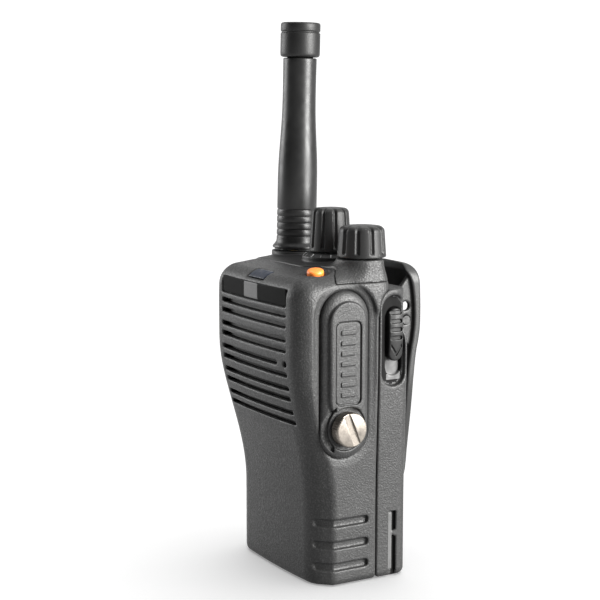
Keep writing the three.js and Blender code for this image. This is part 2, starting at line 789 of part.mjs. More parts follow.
// It sits behind the membrane, at the hole in the grille.
function microphoneSolid() {
  const z = grilleTop - 2 * pairPitch;
  const radius = 2.4;
  const bow = crown * ((micX + radius) / (halfWidth(z) - cornerRadius)) ** 2;
  const face = front(z - radius) - bow - wall - 1.2;
  return facingFront(ring(0.6, radius, face - 2.3, face, 14)).translate([micX, 0, z]);
}

function contactBlockSolid() {
  const block = box(-8.6, 8.6, -0.6, seam - 0.2, 12.4, 21.6);
  const blades = [-5, 0, 5].map((x) => box(x - 1, x + 1, 0, seam + 0.5, 14, 20));
  return join([block, ...blades]);
}

// ---------------------------------------------------------------- battery

function batterySide() {
  const shape = new THREE.Shape();
  const front = seam + gap;
  const r = batteryRound;
  shape.moveTo(front, -1);
  shape.lineTo(60, -1);
  shape.lineTo(60, batteryTop - r);
  shape.lineTo(batteryBack, batteryTop - r);
  shape.absarc(batteryBack - r, batteryTop - r, r, 0, Math.PI / 2);
  shape.absarc(front + r, batteryTop - r, r, Math.PI / 2, Math.PI);
  shape.closePath();
  return shape;
}

const latchOpening = (grow) =>
  roundedRect(
    latchY - latchHalf - grow, latchY + latchHalf + grow, latchLow - latchTravel - grow, latchHigh + grow, 30,
  );

function batteryHousingSolid() {
  const outer = roundedStack(batteryRing, 110).intersect(prismX(batterySide(), -60, 60, 5));
  const w = batteryWall;
  const cavity = loft(stack(batteryRing, w, w, batteryTop - 3.4))
    .intersect(box(-60, 60, 0, batteryBack - w, 0, 69))
    .add(box(-25.4, 25.4, seam - 1, batteryBack - w, 60, batteryTop - 6));
  const lidSeat = box(-narrowHalf + w, narrowHalf - w, seam - 1, seam + gap + 2.4, w, batteryTop - 6);
  const latches = [-1, 1].map((side) => {
    const pocket = prismX(latchOpening(0), latchFace - latchDeep - gap, 60, 5);
    return side > 0 ? pocket : pocket.mirror([1, 0, 0]);
  });
  const guides = [-1, 1].map((side) => {
    const groove = box(gripHalfWidth - 1.2, 60, 10.4, 13.4, -1, 23);
    return side > 0 ? groove : groove.mirror([1, 0, 0]);
  });
  const screws = [-clipScrewX, clipScrewX].map((x) => facingFront(rod(1.2, -60, 0, 12)).translate([x, 0, clipScrewZ]));
  return cut(outer, [cavity, lidSeat, ...latches, ...guides, ...screws]);
}

function batteryLidSolid() {
  const w = narrowHalf - batteryWall - gap;
  const lid = prismY(
    roundedRect(-w, w, batteryWall + gap, batteryTop - 6 - gap, 1.5), seam + gap + 0.1, seam + gap + 2, 3,
  );
  const pads = [-5, 0, 5].map((x) => box(x - 1.6, x + 1.6, seam, seam + gap + 0.9, 13, 21));
  return cut(lid, pads);
}

const contactPadSolid = (x) => box(x - 1.3, x + 1.3, seam + 0.8, seam + 1.1, 13.4, 20.6);

function cellSolid(x0) {
  return prismZ(roundedRect(x0, x0 + 24, seam + 3, batteryBack - batteryWall - 0.5, 3.5), 6, 66, 4);
}

// The right-hand latch: a ribbed thumb slider with an arrow that points down.
function latchSolid() {
  const body = prismX(
    roundedRect(latchY - latchHalf + gap, latchY + latchHalf - gap, latchLow, latchHigh - gap, 30),
    latchFace - latchDeep,
    latchFace,
    5,
  );
  const ribs = [1.6, 4.6, 7.4, 10.2].map((down) => {
    const z = latchHigh - down;
    return box(latchFace - 0.6, latchFace + 5, latchY - 2.4, latchY + 2.4, z - 0.9, z + 0.5);
  });
  return cut(body, ribs);
}

// ---------------------------------------------------------------- belt clip

function bracketSolid() {
  const plate = prismY(roundedRect(-12, 12, 62, 89, 3), batteryBack + gap, bracketFace, 4);
  const knuckle = new THREE.Shape();
  knuckle.moveTo(bracketFace - 0.5, clipPivotZ - 5);
  knuckle.lineTo(clipPivotY + 1, clipPivotZ - 2.4);
  knuckle.absarc(clipPivotY, clipPivotZ, 2.6, -1.2, Math.PI / 2);
  knuckle.lineTo(bracketFace - 0.5, clipPivotZ + 2.4);
  knuckle.closePath();
  const inner = knuckleOut - knuckleThick;
  const knuckles = [prismX(knuckle, inner, knuckleOut), prismX(knuckle, -knuckleOut, -inner)];
  const bore = alongX(rod(clipPinRadius + 0.1, -30, 30, 16)).translate([0, clipPivotY, clipPivotZ]);
  const holes = [-clipScrewX, clipScrewX].map((x) =>
    facingFront(rod(1.5, -60, 0, 12)).translate([x, 0, clipScrewZ]),
  );
  return cut(join([plate, ...knuckles]), [bore, ...holes]);
}

const fromPin = (points) => points.map(([y, z]) => [clipPivotY + y, z]);
const fromBack = (points) => points.map(([y, z]) => [batteryBack + y, z]);

// The lever's side view: a bowed plate round the pin, whose foot turns in to the battery's back.
function leverSide() {
  return polygon([
    ...fromPin([[0.4, 106.5], [2.8, 105.7], [4.4, 103.4], [5, 98], [5.3, 91], [5.2, 84], [4.6, 79.5]]),
    ...fromBack([
      [9.8, 75], [9.1, 68.9], [8.7, 62.9], [8.7, 49.2], [8.3, 39.1], [7.4, 31.9], [5.7, 29],
      [3.1, 28.2], [0.6, 30.2], [0.6, 33.2], [2.7, 34.2], [4.3, 34.9], [5.5, 39.4], [6, 49],
      [6, 62.6], [6.4, 69], [7.3, 75.6],
    ]),
    ...fromPin([[2, 80], [2.6, 85], [2.6, 91], [2, 97], [1, 101.2], [-0.4, 103.4]]),
  ]);
}

function leverFront() {
  const shape = new THREE.Shape();
  shape.moveTo(-clipHalf + 3, 20);
  shape.lineTo(clipHalf - 3, 20);
  shape.lineTo(clipHalf - 3, 40);
  shape.lineTo(clipHalf, 66);
  shape.lineTo(clipHalf, 98);
  shape.quadraticCurveTo(clipHalf, 104.4, clipHalf - 7, 105.1);
  shape.quadraticCurveTo(0, 106.4, -clipHalf + 7, 105.1);
  shape.quadraticCurveTo(-clipHalf, 104.4, -clipHalf, 98);
  shape.lineTo(-clipHalf, 66);
  shape.lineTo(-clipHalf + 3, 40);
  shape.closePath();
  return shape;
}

function leverSolid() {
  const plate = prismX(leverSide(), -clipHalf, clipHalf).intersect(prismY(leverFront(), 0, 60, 5));
  const ear = polygon([
    ...fromPin([[3.4, 102], [0.5, 101.2]]),
    ...fromBack([[1.1, 94.7], [0.8, 84], [2.7, 80]]),
    ...fromPin([[2.6, 77]]),
  ]);
  const ears = [prismX(ear, earOut - earThick, earOut), prismX(ear, -earOut, earThick - earOut)];
  const tools = [
    alongX(rod(clipPinRadius + 0.1, -30, 30, 16)).translate([0, clipPivotY, clipPivotZ]),
    alongX(rod(lanyardHole, -30, 30, 12)).translate([0, batteryBack + 6, 91.3]),
  ];
  const slot = prismY(
    roundedRect(-strapSlotHalf, strapSlotHalf, strapSlotLow, strapSlotHigh, 1.2), clipPivotY, clipPivotY + 16, 2,
  );
  return join([plate.subtract(slot), ...ears.map((made) => cut(made, tools))]);
}

const clipPinSolid = () => alongX(rod(clipPinRadius, -earOut - 0.4, earOut + 0.4, 16));

// A torsion spring round the pin: three turns with a leg at each end, as one tube.
class TorsionCoil extends THREE.Curve {
  getPoint(t) {
    const turns = 4;
    const legs = 0.12;
    const wire = clipPinRadius + 0.45;
    const share = THREE.MathUtils.clamp((t - legs) / (1 - 2 * legs), 0, 1);
    const angle = -Math.PI / 2 + share * turns * 2 * Math.PI;
    const point = new THREE.Vector3(-4.5 + share * 9, wire * Math.cos(angle), wire * Math.sin(angle));
    const outLow = Math.max(0, legs - t) / legs;
    const outHigh = Math.max(0, t - 1 + legs) / legs;
    const tangent = new THREE.Vector3(0, -Math.sin(angle), Math.cos(angle));
    return point.addScaledVector(tangent, outHigh * 1.5 - outLow * 2.6);
  }
}

function springSolid() {
  const section = new THREE.Shape();
  section.absarc(0, 0, 0.32, 0, 2 * Math.PI);
  const geometry = new THREE.ExtrudeGeometry(section, {
    steps: 44,
    curveSegments: 2,
    extrudePath: new TorsionCoil(),
  });
  return solid(geometry);
}

function clipScrewSolid() {
  const head = turned([[0, 0], [2.6, 0], [2.6, 0.9], [1.9, 1.5], [0, 1.5]], 14);
  const slot = box(-4, 4, -0.4, 0.4, 0.9, 4);
  const shank = rod(1.0, -5.5, 0.1, 10);
  return join([head.subtract(slot), shank]).rotate([-90, 0, 0]);
}

// ---------------------------------------------------------------- assembly

const radio = new THREE.Group();
const battery = new THREE.Group();
const cover = new THREE.Group();
const whip = new THREE.Group();
whip.position.set(antennaX, controlY, antennaFoot);
whip.rotation.x = -antennaLean;
radio.add(battery, cover, whip);

function add(parent, name, made, material, at = [0, 0, 0]) {
  const mesh = new THREE.Mesh(geometryOf(made), material);
  mesh.name = name;
  mesh.position.set(...at);
  parent.add(mesh);
  return mesh;
}

const onControls = (x) => [x, controlY, 0];

add(radio, "front_case", casingSolid(), casing);
add(radio, "rear_chassis", chassisSolid(), alloy);
add(radio, "top_panel", panelSolid(), satin);
add(radio, "name_plate", platePiece(), satin);
add(radio, "led_lens", ledPiece(), lensBlue);
add(radio, "grille_membrane", membraneSolid(), rubber);
add(radio, "speaker_frame", speakerFrameSolid(), alloy);
add(radio, "speaker_cone", speakerConeSolid(), rubber);
add(radio, "speaker_magnet", speakerMagnetSolid(), steel);
add(radio, "microphone", microphoneSolid(), alloy);
add(radio, "main_board", boardSolid(), board);
add(radio, "shield_can", shieldSolid(), steel);
add(radio, "battery_contact_block", contactBlockSolid(), brass);
add(radio, "accessory_socket", socketBlockSolid(), rubber);
add(radio, "screw_insert", insertSolid(), brass, [0, coverY, screwZ]);
add(radio, "volume_pot", potSolid(), alloy, onControls(volumeX));
add(radio, "channel_switch", potSolid(), alloy, onControls(channelX));
add(radio, "antenna_socket", socketSolid(), brass, onControls(antennaX));
screwPlaces().forEach(([x, z], i) => {
  add(radio, "chassis_screw_" + (i + 1), chassisScrew(), steel, [x, seam - 0.1, z]);
});

add(radio, "volume_knob", knobSolid(volumeRadius, volumeHeight), knobBlack, [volumeX, controlY, volumeBase]);
add(radio, "volume_shaft", shaftSolid(volumeBase + volumeHeight - 3.4), steel, onControls(volumeX));
add(radio, "channel_knob", knobSolid(channelRadius, channelHeight), knobBlack, [channelX, controlY, channelBase]);
add(radio, "channel_shaft", shaftSolid(channelBase + channelHeight - 3.4), steel, onControls(channelX));

add(whip, "antenna_whip", whipSolid(), rubber);
add(whip, "antenna_cap", capSolid(), knobBlack);
add(whip, "antenna_stud", studSolid(), brass);
add(whip, "antenna_gasket", gasketSolid(), rubber);

const alarm = add(radio, "alarm_button", alarmSolid(), orange, alarmAt.toArray());
alarm.quaternion.copy(buttonAxis);
add(radio, "ptt_button", pttSolid(), rubber);
for (const [name, z] of Object.entries(sideButtonHeights)) {
  add(radio, name, sideButtonSolid(z), rubber, [0, pttY, z]);
}

add(cover, "accessory_cover", coverSolid(), casing);
add(cover, "cover_badge", badgeSolid(), satin);
add(cover, "thumbscrew", thumbscrewSolid(), steel, [0, coverY, screwZ]);
add(cover, "captive_clip", captiveClipSolid(), steel, [0, coverY, screwZ]);

add(battery, "battery_housing", batteryHousingSolid(), casing);
add(battery, "battery_lid", batteryLidSolid(), casing);
add(battery, "battery_cell_left", cellSolid(-25), cellGreen);
add(battery, "battery_cell_right", cellSolid(1), cellGreen);
for (const [name, x] of [["contact_left", -5], ["contact_middle", 0], ["contact_right", 5]]) {
  add(battery, "battery_" + name, contactPadSolid(x), brass);
}
add(battery, "battery_latch_right", latchSolid(), satin);
add(battery, "battery_latch_left", latchSolid().mirror([1, 0, 0]), satin);
add(battery, "clip_bracket", bracketSolid(), satin);
add(battery, "clip_lever", leverSolid(), satin);
add(battery, "clip_pin", clipPinSolid(), steel, [0, clipPivotY, clipPivotZ]);
add(battery, "clip_spring", springSolid(), steel, [0, clipPivotY, clipPivotZ]);
for (const [name, x] of [["clip_screw_left", -clipScrewX], ["clip_screw_right", clipScrewX]]) {
  add(battery, name, clipScrewSolid(), steel, [x, bracketFace + gap, clipScrewZ]);
}

function platePiece() {
  const slab = frontPocket(plateShape(gap), plateDeep - 0.05);
  return slab.intersect(loft(stack(casingRing, 0.25, 40, 118)));
}

function ledPiece() {
  const top = prismX(casingSide(), -60, 60, 8).intersect(prismY(archShape(crownTop, crownDrop), -60, 60));
  return browPocket(gap, ledDeep - 0.05).intersect(loft(stack(casingRing, 0, 40, 118))).intersect(top);
}

export default radio;
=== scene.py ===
"""Looks for the hand-held two-way radio: moulded pieces are meshed from distance fields, in millimetres."""

import json
import math

import bmesh
import bpy
import numpy as np
from mathutils import Matrix, Vector


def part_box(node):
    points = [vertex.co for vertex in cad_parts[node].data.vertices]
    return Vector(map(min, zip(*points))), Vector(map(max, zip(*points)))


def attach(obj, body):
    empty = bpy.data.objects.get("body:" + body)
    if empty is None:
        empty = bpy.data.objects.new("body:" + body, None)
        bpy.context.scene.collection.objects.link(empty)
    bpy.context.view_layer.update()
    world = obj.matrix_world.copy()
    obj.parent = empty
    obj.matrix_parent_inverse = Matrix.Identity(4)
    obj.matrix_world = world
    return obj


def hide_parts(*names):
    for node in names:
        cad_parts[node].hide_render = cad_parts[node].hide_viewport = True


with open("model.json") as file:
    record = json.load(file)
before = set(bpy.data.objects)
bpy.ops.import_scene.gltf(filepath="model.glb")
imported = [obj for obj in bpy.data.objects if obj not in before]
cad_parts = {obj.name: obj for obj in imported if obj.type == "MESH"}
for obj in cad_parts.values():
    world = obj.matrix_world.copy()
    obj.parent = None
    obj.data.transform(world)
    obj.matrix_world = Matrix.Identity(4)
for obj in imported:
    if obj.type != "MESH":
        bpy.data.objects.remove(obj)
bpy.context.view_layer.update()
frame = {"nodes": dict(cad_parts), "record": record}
MM = 0.001
COARSE = 1.0


def box_mm(node):
    """The low and high corners of a CAD node's box."""
    low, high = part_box(node)
    return np.array(low) / MM, np.array(high) / MM


# ---------------------------------------------------------------- distance field tools

def isect(a, b, r):
    """Intersection with a round edge of radius r."""
    return np.minimum(-r, np.maximum(a, b)) + np.hypot(np.maximum(a + r, 0), np.maximum(b + r, 0))


def union(a, b, r):
    """Union with a round fillet of radius r."""
    return np.maximum(r, np.minimum(a, b)) - np.hypot(np.maximum(r - a, 0), np.maximum(r - b, 0))


def cut(a, tool, r):
    """Takes the tool's shape out of a, with a round edge of radius r."""
    return isect(a, -tool, r)


def stadium(u, v, u0, u1, v0, v1, r=None):
    """Rounded rectangle in a plane."""
    hu, hv = (u1 - u0) / 2, (v1 - v0) / 2
    r = min(hu, hv) if r is None else r
    du = np.abs(u - (u0 + u1) / 2) - hu + r
    dv = np.abs(v - (v0 + v1) / 2) - hv + r
    return np.hypot(np.maximum(du, 0), np.maximum(dv, 0)) + np.minimum(np.maximum(du, dv), 0) - r


def polygon(u, v, points):
    """Signed distance to a closed polygon in a plane."""
    points = np.asarray(points, float)
    d = np.full(np.shape(u), 1e9)
    sign = np.ones(np.shape(u))
    for i in range(len(points)):
        a, b = points[i], points[i - 1]
        e = b - a
        wu, wv = u - a[0], v - a[1]
        t = np.clip((wu * e[0] + wv * e[1]) / (e @ e), 0, 1)
        d = np.minimum(d, (wu - e[0] * t) ** 2 + (wv - e[1] * t) ** 2)
        c1 = v >= a[1]
        c2 = v < b[1]
        c3 = e[0] * wv > e[1] * wu
        flip = (c1 & c2 & c3) | (~c1 & ~c2 & ~c3)
        sign = np.where(flip, -sign, sign)
    return sign * np.sqrt(d)


def smoothstep(low, high, v):
    t = np.clip((v - low) / (high - low), 0, 1)
    return t * t * (3 - 2 * t)


def smooth_curve(points, steps=8):
    """Catmull-Rom curve through the points of an open polyline."""
    p = np.asarray(points, float)
    p = np.vstack([2 * p[0] - p[1], p, 2 * p[-1] - p[-2]])
    out = []
    for i in range(1, len(p) - 2):
        for s in range(steps):
            t = s / steps
            out.append(0.5 * (2 * p[i] + (p[i + 1] - p[i - 1]) * t
                              + (2 * p[i - 1] - 5 * p[i] + 4 * p[i + 1] - p[i + 2]) * t ** 2
                              + (3 * p[i] - p[i - 1] - 3 * p[i + 1] + p[i + 2]) * t ** 3))
    out.append(p[-2])
    return np.array(out)


def nets(field, low, high, step):
    """Surface nets of field < 0 in a box: vertices moved onto the surface, and quads."""
    low = np.asarray(low, float) - 1.5 * step
    count = np.ceil((np.asarray(high, float) + 1.5 * step - low) / step).astype(int) + 1
    axes = [low[i] + step * np.arange(count[i]) for i in range(3)]
    vol = np.empty(count, np.float32)
    for s in range(0, count[0], 24):
        x, y, z = np.meshgrid(axes[0][s:s + 24], axes[1], axes[2], indexing="ij", sparse=True)
        vol[s:s + 24] = np.broadcast_to(field(x, y, z), (len(axes[0][s:s + 24]), count[1], count[2]))
    inside = vol < 0
    cells = tuple(c - 1 for c in count)
    total = np.zeros(cells, np.int8)
    corners = [(i, j, k) for i in (0, 1) for j in (0, 1) for k in (0, 1)]
    part = {c: tuple(slice(c[a], c[a] + cells[a]) for a in range(3)) for c in corners}
    for c in corners:
        total += inside[part[c]]
    active = (total > 0) & (total < 8)
    where = np.argwhere(active)
    ids = np.full(cells, -1, np.int32)
    ids[active] = np.arange(len(where))
    value = {c: vol[part[c]][active] for c in corners}
    point = np.zeros((len(where), 3))
    hits = np.zeros(len(where))
    for a in corners:
        for axis in range(3):
            if a[axis]:
                continue
            b = tuple(1 if i == axis else a[i] for i in range(3))
            crossing = (value[a] < 0) != (value[b] < 0)
            t = value[a] / np.where(crossing, value[a] - value[b], 1)
            place = np.array(a, float)[None, :].repeat(len(where), 0)
            place[:, axis] = t
            point += np.where(crossing[:, None], place, 0)
            hits += crossing
    point = low + step * (where + point / hits[:, None])
    for _ in range(3):
        e = 0.05 * step
        f0 = field(point[:, 0], point[:, 1], point[:, 2])
        grad = np.stack([
            field(point[:, 0] + e * (i == 0), point[:, 1] + e * (i == 1), point[:, 2] + e * (i == 2)) - f0
            for i in range(3)], 1) / e
        move = -f0[:, None] * grad / np.maximum((grad ** 2).sum(1), 0.25)[:, None]
        length = np.linalg.norm(move, axis=1)
        point += move * np.minimum(1, 0.3 * step / np.maximum(length, 1e-9))[:, None]
    quads = []
    for axis in range(3):
        u, v = [(1, 2), (2, 0), (0, 1)][axis]
        first = [slice(None)] * 3
        second = [slice(None)] * 3
        first[axis], second[axis] = slice(0, -1), slice(1, None)
        a, b = inside[tuple(first)], inside[tuple(second)]
        change = a != b
        edge = [slice(None)] * 3
        edge[u], edge[v] = slice(1, -1), slice(1, -1)
        spots = np.argwhere(change[tuple(edge)])
        spots[:, u] += 1
        spots[:, v] += 1
        out = a[tuple(spots.T)]
        ring = []
        for du, dv in ((-1, -1), (0, -1), (0, 0), (-1, 0)):
            s = spots.copy()
            s[:, u] += du
            s[:, v] += dv
            ring.append(ids[tuple(s.T)])
        quad = np.stack(ring, 1)
        quad[~out] = quad[~out][:, ::-1]
        quads.append(quad)
    return point, np.vstack(quads)


def make_mesh(name, points, quads, materials, body, slot, stands_for, pick=None):
    """An object from points in millimetres. pick gives each face a material number from its middle."""
    mesh = bpy.data.meshes.new(name)
    points = np.asarray(points, np.float32) * MM
    quads = np.asarray(quads, np.int32)
    mesh.vertices.add(len(points))
    mesh.vertices.foreach_set("co", points.ravel())
    mesh.loops.add(quads.size)
    mesh.loops.foreach_set("vertex_index", quads.ravel())
    mesh.polygons.add(len(quads))
    mesh.polygons.foreach_set("loop_start", np.arange(0, quads.size, quads.shape[1], dtype=np.int32))
    mesh.polygons.foreach_set("use_smooth", np.full(len(quads), True))
    for m in materials:
        mesh.materials.append(m)
    if pick is not None:
        middle = points[quads].mean(1) / MM
        mesh.polygons.foreach_set("material_index", pick(*middle.T).astype(np.int32))
    mesh.update(calc_edges=True)
    mesh.validate()
    return place(bpy.data.objects.new(name, mesh), body, slot, stands_for)


def place(obj, body, slot, stands_for=()):
    """Links an object into the scene, puts it under its body and hides the CAD nodes it stands for. The slot
    is not used.
    """
    if obj.name not in bpy.context.scene.collection.objects:
        bpy.context.scene.collection.objects.link(obj)
    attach(obj, body)
    if stands_for:
        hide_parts(*stands_for)
    return obj


def moulded(name, field, low, high, step, materials, body, slot, stands_for, pick=None):
    """An object meshed from a distance field inside a box, with cells of the given step."""
    points, quads = nets(field, low, high, step * COARSE)
    return make_mesh(name, points, quads, materials, body, slot, stands_for, pick)


def turned(name, profile, segments, materials, body, slot, stands_for, move):
    """A closed profile of (radius, height) turned about Z, then moved by a matrix, all in millimetres."""
    profile = np.asarray(profile, float)
    angle = np.linspace(0, 2 * np.pi, segments, endpoint=False)
    points = np.stack([
        profile[:, None, 0] * np.cos(angle), profile[:, None, 0] * np.sin(angle),
        np.repeat(profile[:, None, 1], segments, 1)], 2).reshape(-1, 3)
    i, j = np.meshgrid(np.arange(len(profile) - 1), np.arange(segments), indexing="ij")
    k = (j + 1) % segments
    quads = np.stack([i * segments + j, i * segments + k, (i + 1) * segments + k, (i + 1) * segments + j], 2)
    quads = quads.reshape(-1, 4)
    move = np.asarray(move)
    points = points @ move[:3, :3].T + move[:3, 3]
    obj = make_mesh(name, points, quads, materials, body, slot, stands_for)
    tidy = bmesh.new()
    tidy.from_mesh(obj.data)
    bmesh.ops.remove_doubles(tidy, verts=tidy.verts, dist=0.00002)
    bmesh.ops.recalc_face_normals(tidy, faces=tidy.faces)
    tidy.to_mesh(obj.data)
    tidy.free()
    return obj


# ---------------------------------------------------------------- materials

def nodes_of(name):
    """A new material, its node tree, its surface node and the object's own coordinates."""
    m = bpy.data.materials.new(name)
    m.use_nodes = True
    tree = m.node_tree
    bsdf = tree.nodes["Principled BSDF"]
    coords = tree.nodes.new("ShaderNodeTexCoord")
    return m, tree, bsdf, coords.outputs["Object"]


def noise(tree, coords, scale, detail, rough=0.55):
    """Cloudy values round one half; the scale is in repeats per metre."""
    n = tree.nodes.new("ShaderNodeTexNoise")
    n.inputs["Scale"].default_value = scale
    n.inputs["Detail"].default_value = detail
    n.inputs["Roughness"].default_value = rough
    tree.links.new(coords, n.inputs["Vector"])
    return n.outputs["Fac"]


def blend(tree, fac, first, second, low=0.3, high=0.7):
    """Goes from the first colour to the second as fac goes from low to high."""
    r = tree.nodes.new("ShaderNodeValToRGB")
    for element, at, colour in zip(r.color_ramp.elements, (low, high), (first, second)):
        element.position = at
        element.color = (*colour, 1)
    tree.links.new(fac, r.inputs["Fac"])
    return r.outputs["Color"]


def grey(v):
    return (v, v, v)


def to_range(tree, fac, low, high, from_low=0.3, from_high=0.7):
    """Stretches the values between from_low and from_high over low to high."""
    m = tree.nodes.new("ShaderNodeMapRange")
    m.inputs["From Min"].default_value = from_low
    m.inputs["From Max"].default_value = from_high
    m.inputs["To Min"].default_value = low
    m.inputs["To Max"].default_value = high
    tree.links.new(fac, m.inputs["Value"])
    return m.outputs["Result"]


def bump(tree, bsdf, height, strength, distance, before=None):
    """Bumps a surface, on top of an earlier bump where one is given; the distance is in metres."""
    b = tree.nodes.new("ShaderNodeBump")
    b.inputs["Strength"].default_value = strength
    b.inputs["Distance"].default_value = distance
    tree.links.new(height, b.inputs["Height"])
    if before is not None:
        tree.links.new(before, b.inputs["Normal"])
    tree.links.new(b.outputs["Normal"], bsdf.inputs["Normal"])
    return b.outputs["Normal"]


def edge_wear(tree, colour, pale_tone, amount, coords):
    """Lightens convex edges a little, broken up by noise."""
    geo = tree.nodes.new("ShaderNodeNewGeometry")
    edge = to_range(tree, geo.outputs["Pointiness"], 0.0, 1.0, 0.53, 0.62)
    patch = to_range(tree, noise(tree, coords, 160, 4), 0.2, 1.0, 0.4, 0.65)
    both = tree.nodes.new("ShaderNodeMath")
    both.operation = "MULTIPLY"
    tree.links.new(edge, both.inputs[0])
    tree.links.new(patch, both.inputs[1])
    scaled = to_range(tree, both.outputs[0], 0.0, amount, 0.0, 1.0)
    mix = tree.nodes.new("ShaderNodeMix")
    mix.data_type = "RGBA"
    tree.links.new(scaled, mix.inputs["Factor"])
    tree.links.new(colour, mix.inputs["A"])
    mix.inputs["B"].default_value = (*pale_tone, 1)
    return mix.outputs["Result"]


def moulded_plastic(name, dark, light, rough, grain, depth, pale_tone, wear, painted_glints=0.0):
    """Black moulded plastic with a spark-eroded grain, faint cloudy changes of tone, polished edges and pale
    flecks painted in as glints of light on the grain.
    """
    m, tree, bsdf, coords = nodes_of(name)
    colour = blend(tree, noise(tree, coords, 45, 5), dark, light)
    fine = noise(tree, coords, grain, 2.5, 0.6)
    # painted highlights: pale flecks where the grain's fine noise peaks, standing in for glints of light on
    # the grain; they take the same pale tone as the worn edges
    if painted_glints:
        glint_mix = tree.nodes.new("ShaderNodeMix")
        glint_mix.data_type = "RGBA"
        tree.links.new(to_range(tree, fine, 0.0, painted_glints, 0.5, 0.72), glint_mix.inputs["Factor"])
        tree.links.new(colour, glint_mix.inputs["A"])
        glint_mix.inputs["B"].default_value = (*pale_tone, 1)
        colour = glint_mix.outputs["Result"]
    tree.links.new(edge_wear(tree, colour, pale_tone, wear, coords), bsdf.inputs["Base Color"])
    tree.links.new(to_range(tree, fine, rough[1], rough[0]), bsdf.inputs["Roughness"])
    first = bump(tree, bsdf, noise(tree, coords, grain * 0.33, 2), 0.25, depth * 1.6)
    bump(tree, bsdf, fine, 0.8, depth, first)
    return m


def rubber(name, dark, light, rough):
    """Dark rubber, a little paler on its edges."""
    m, tree, bsdf, coords = nodes_of(name)
    colour = blend(tree, noise(tree, coords, 60, 4), dark, light)
    pale_tone = tuple(2.2 * c for c in light)
    tree.links.new(edge_wear(tree, colour, pale_tone, 0.4, coords), bsdf.inputs["Base Color"])
    smears = noise(tree, coords, 300, 5)
    tree.links.new(to_range(tree, smears, rough - 0.06, rough + 0.1), bsdf.inputs["Roughness"])
    bump(tree, bsdf, noise(tree, coords, 2600, 2), 0.5, 0.00002)
    return m


def metal(name, base, other, rough, scale=900, scratches=0.35, aniso=0.0):
    """Bare metal with fine scratches and smeared roughness."""
    m, tree, bsdf, coords = nodes_of(name)
    bsdf.inputs["Metallic"].default_value = 1.0
    bsdf.inputs["Anisotropic"].default_value = aniso
    streaks = noise(tree, coords, scale, 3, 0.6)
    tree.links.new(blend(tree, streaks, other, base, 0.25, 0.75), bsdf.inputs["Base Color"])
    smears = noise(tree, coords, 240, 6)
    tree.links.new(to_range(tree, smears, rough * 0.7, rough * 1.4), bsdf.inputs["Roughness"])
    bump(tree, bsdf, streaks, scratches, 0.00002)
    return m


def gloss(name, dark, light, rough, grain=1800, pale_tone=None, depth=0.00001):
    """Smooth plastic, lacquer or print, a little paler on its edges."""
    m, tree, bsdf, coords = nodes_of(name)
    colour = blend(tree, noise(tree, coords, 90, 5), dark, light)
    pale_tone = pale_tone or tuple(min(1, 2.5 * c) for c in light)
    tree.links.new(edge_wear(tree, colour, pale_tone, 0.35, coords), bsdf.inputs["Base Color"])
    smears = noise(tree, coords, 400, 6)
    tree.links.new(to_range(tree, smears, rough * 0.8, rough * 1.5), bsdf.inputs["Roughness"])
    bump(tree, bsdf, noise(tree, coords, grain, 2), 0.35, depth)
    return m


CASE = moulded_plastic("case_grain", grey(0.010), grey(0.017), (0.34, 0.64),
                       grain=1900, depth=0.00020, pale_tone=grey(0.08), wear=0.35, painted_glints=0.32)
PANEL = moulded_plastic("panel_satin", grey(0.007), grey(0.013), (0.42, 0.62),
                        grain=3200, depth=0.00004, pale_tone=grey(0.08), wear=0.3, painted_glints=0.1)
PLATE_SKIN = moulded_plastic("plate_satin", grey(0.003), grey(0.006), (0.55, 0.7),
                             grain=3600, depth=0.00002, pale_tone=grey(0.05), wear=0.2)
PLATE_MARK = moulded_plastic("plate_grey", grey(0.07), grey(0.12), (0.5, 0.7),
                             grain=1500, depth=0.00006, pale_tone=grey(0.3), wear=0.3)
KNOB = moulded_plastic("knob_satin", grey(0.005), grey(0.010), (0.38, 0.54),
                       grain=3400, depth=0.00003, pale_tone=grey(0.09), wear=0.5, painted_glints=0.06)
CLIP = moulded_plastic("clip_satin", grey(0.010), grey(0.016), (0.34, 0.52),
                       grain=2800, depth=0.00004, pale_tone=grey(0.15), wear=0.4, painted_glints=0.1)
# painted shade: a near-black material put where shade falls, inside the loudspeaker's slots, on the floors of
# the dishes round the latches and in the gap of the charger's rail
PAINTED_SHADE = rubber("painted_shade_dark", grey(0.004), grey(0.008), 0.7)
WHIP = rubber("whip_rubber", grey(0.006), grey(0.011), 0.36)
KEY = rubber("key_rubber", grey(0.014), grey(0.022), 0.5)
LATCH = gloss("latch_gloss", grey(0.004), grey(0.008), 0.40)
ORANGE = gloss("alarm_orange", (0.80, 0.17, 0.022), (0.90, 0.23, 0.035), 0.38,
               grain=1500, pale_tone=(0.95, 0.42, 0.16), depth=0.00002)
LENS = gloss("lens_smoked", (0.008, 0.012, 0.024), (0.014, 0.020, 0.036), 0.45)
STRIP = gloss("strip_grey", grey(0.05), grey(0.08), 0.6, grain=900, pale_tone=grey(0.14))
BOARD = gloss("board_green", (0.012, 0.085, 0.040), (0.020, 0.13, 0.060), 0.3, grain=600)
CELL = gloss("cell_wrap", (0.030, 0.16, 0.13), (0.045, 0.22, 0.18), 0.35, grain=500)
PRINT = gloss("print_white", grey(0.62), grey(0.74), 0.5, grain=900, pale_tone=grey(0.5))
NICKEL = metal("nickel_turned", (0.27, 0.245, 0.215), (0.19, 0.17, 0.15), 0.42,
               scale=1500, scratches=0.3, aniso=0.3)
STEEL = metal("steel_plain", (0.56, 0.56, 0.56), (0.44, 0.44, 0.45), 0.32)
BLACKED = metal("steel_blacked", grey(0.05), grey(0.03), 0.45)
ALLOY = metal("alloy_cast", (0.36, 0.37, 0.38), (0.28, 0.29, 0.30), 0.5, scale=700, scratches=0.6)
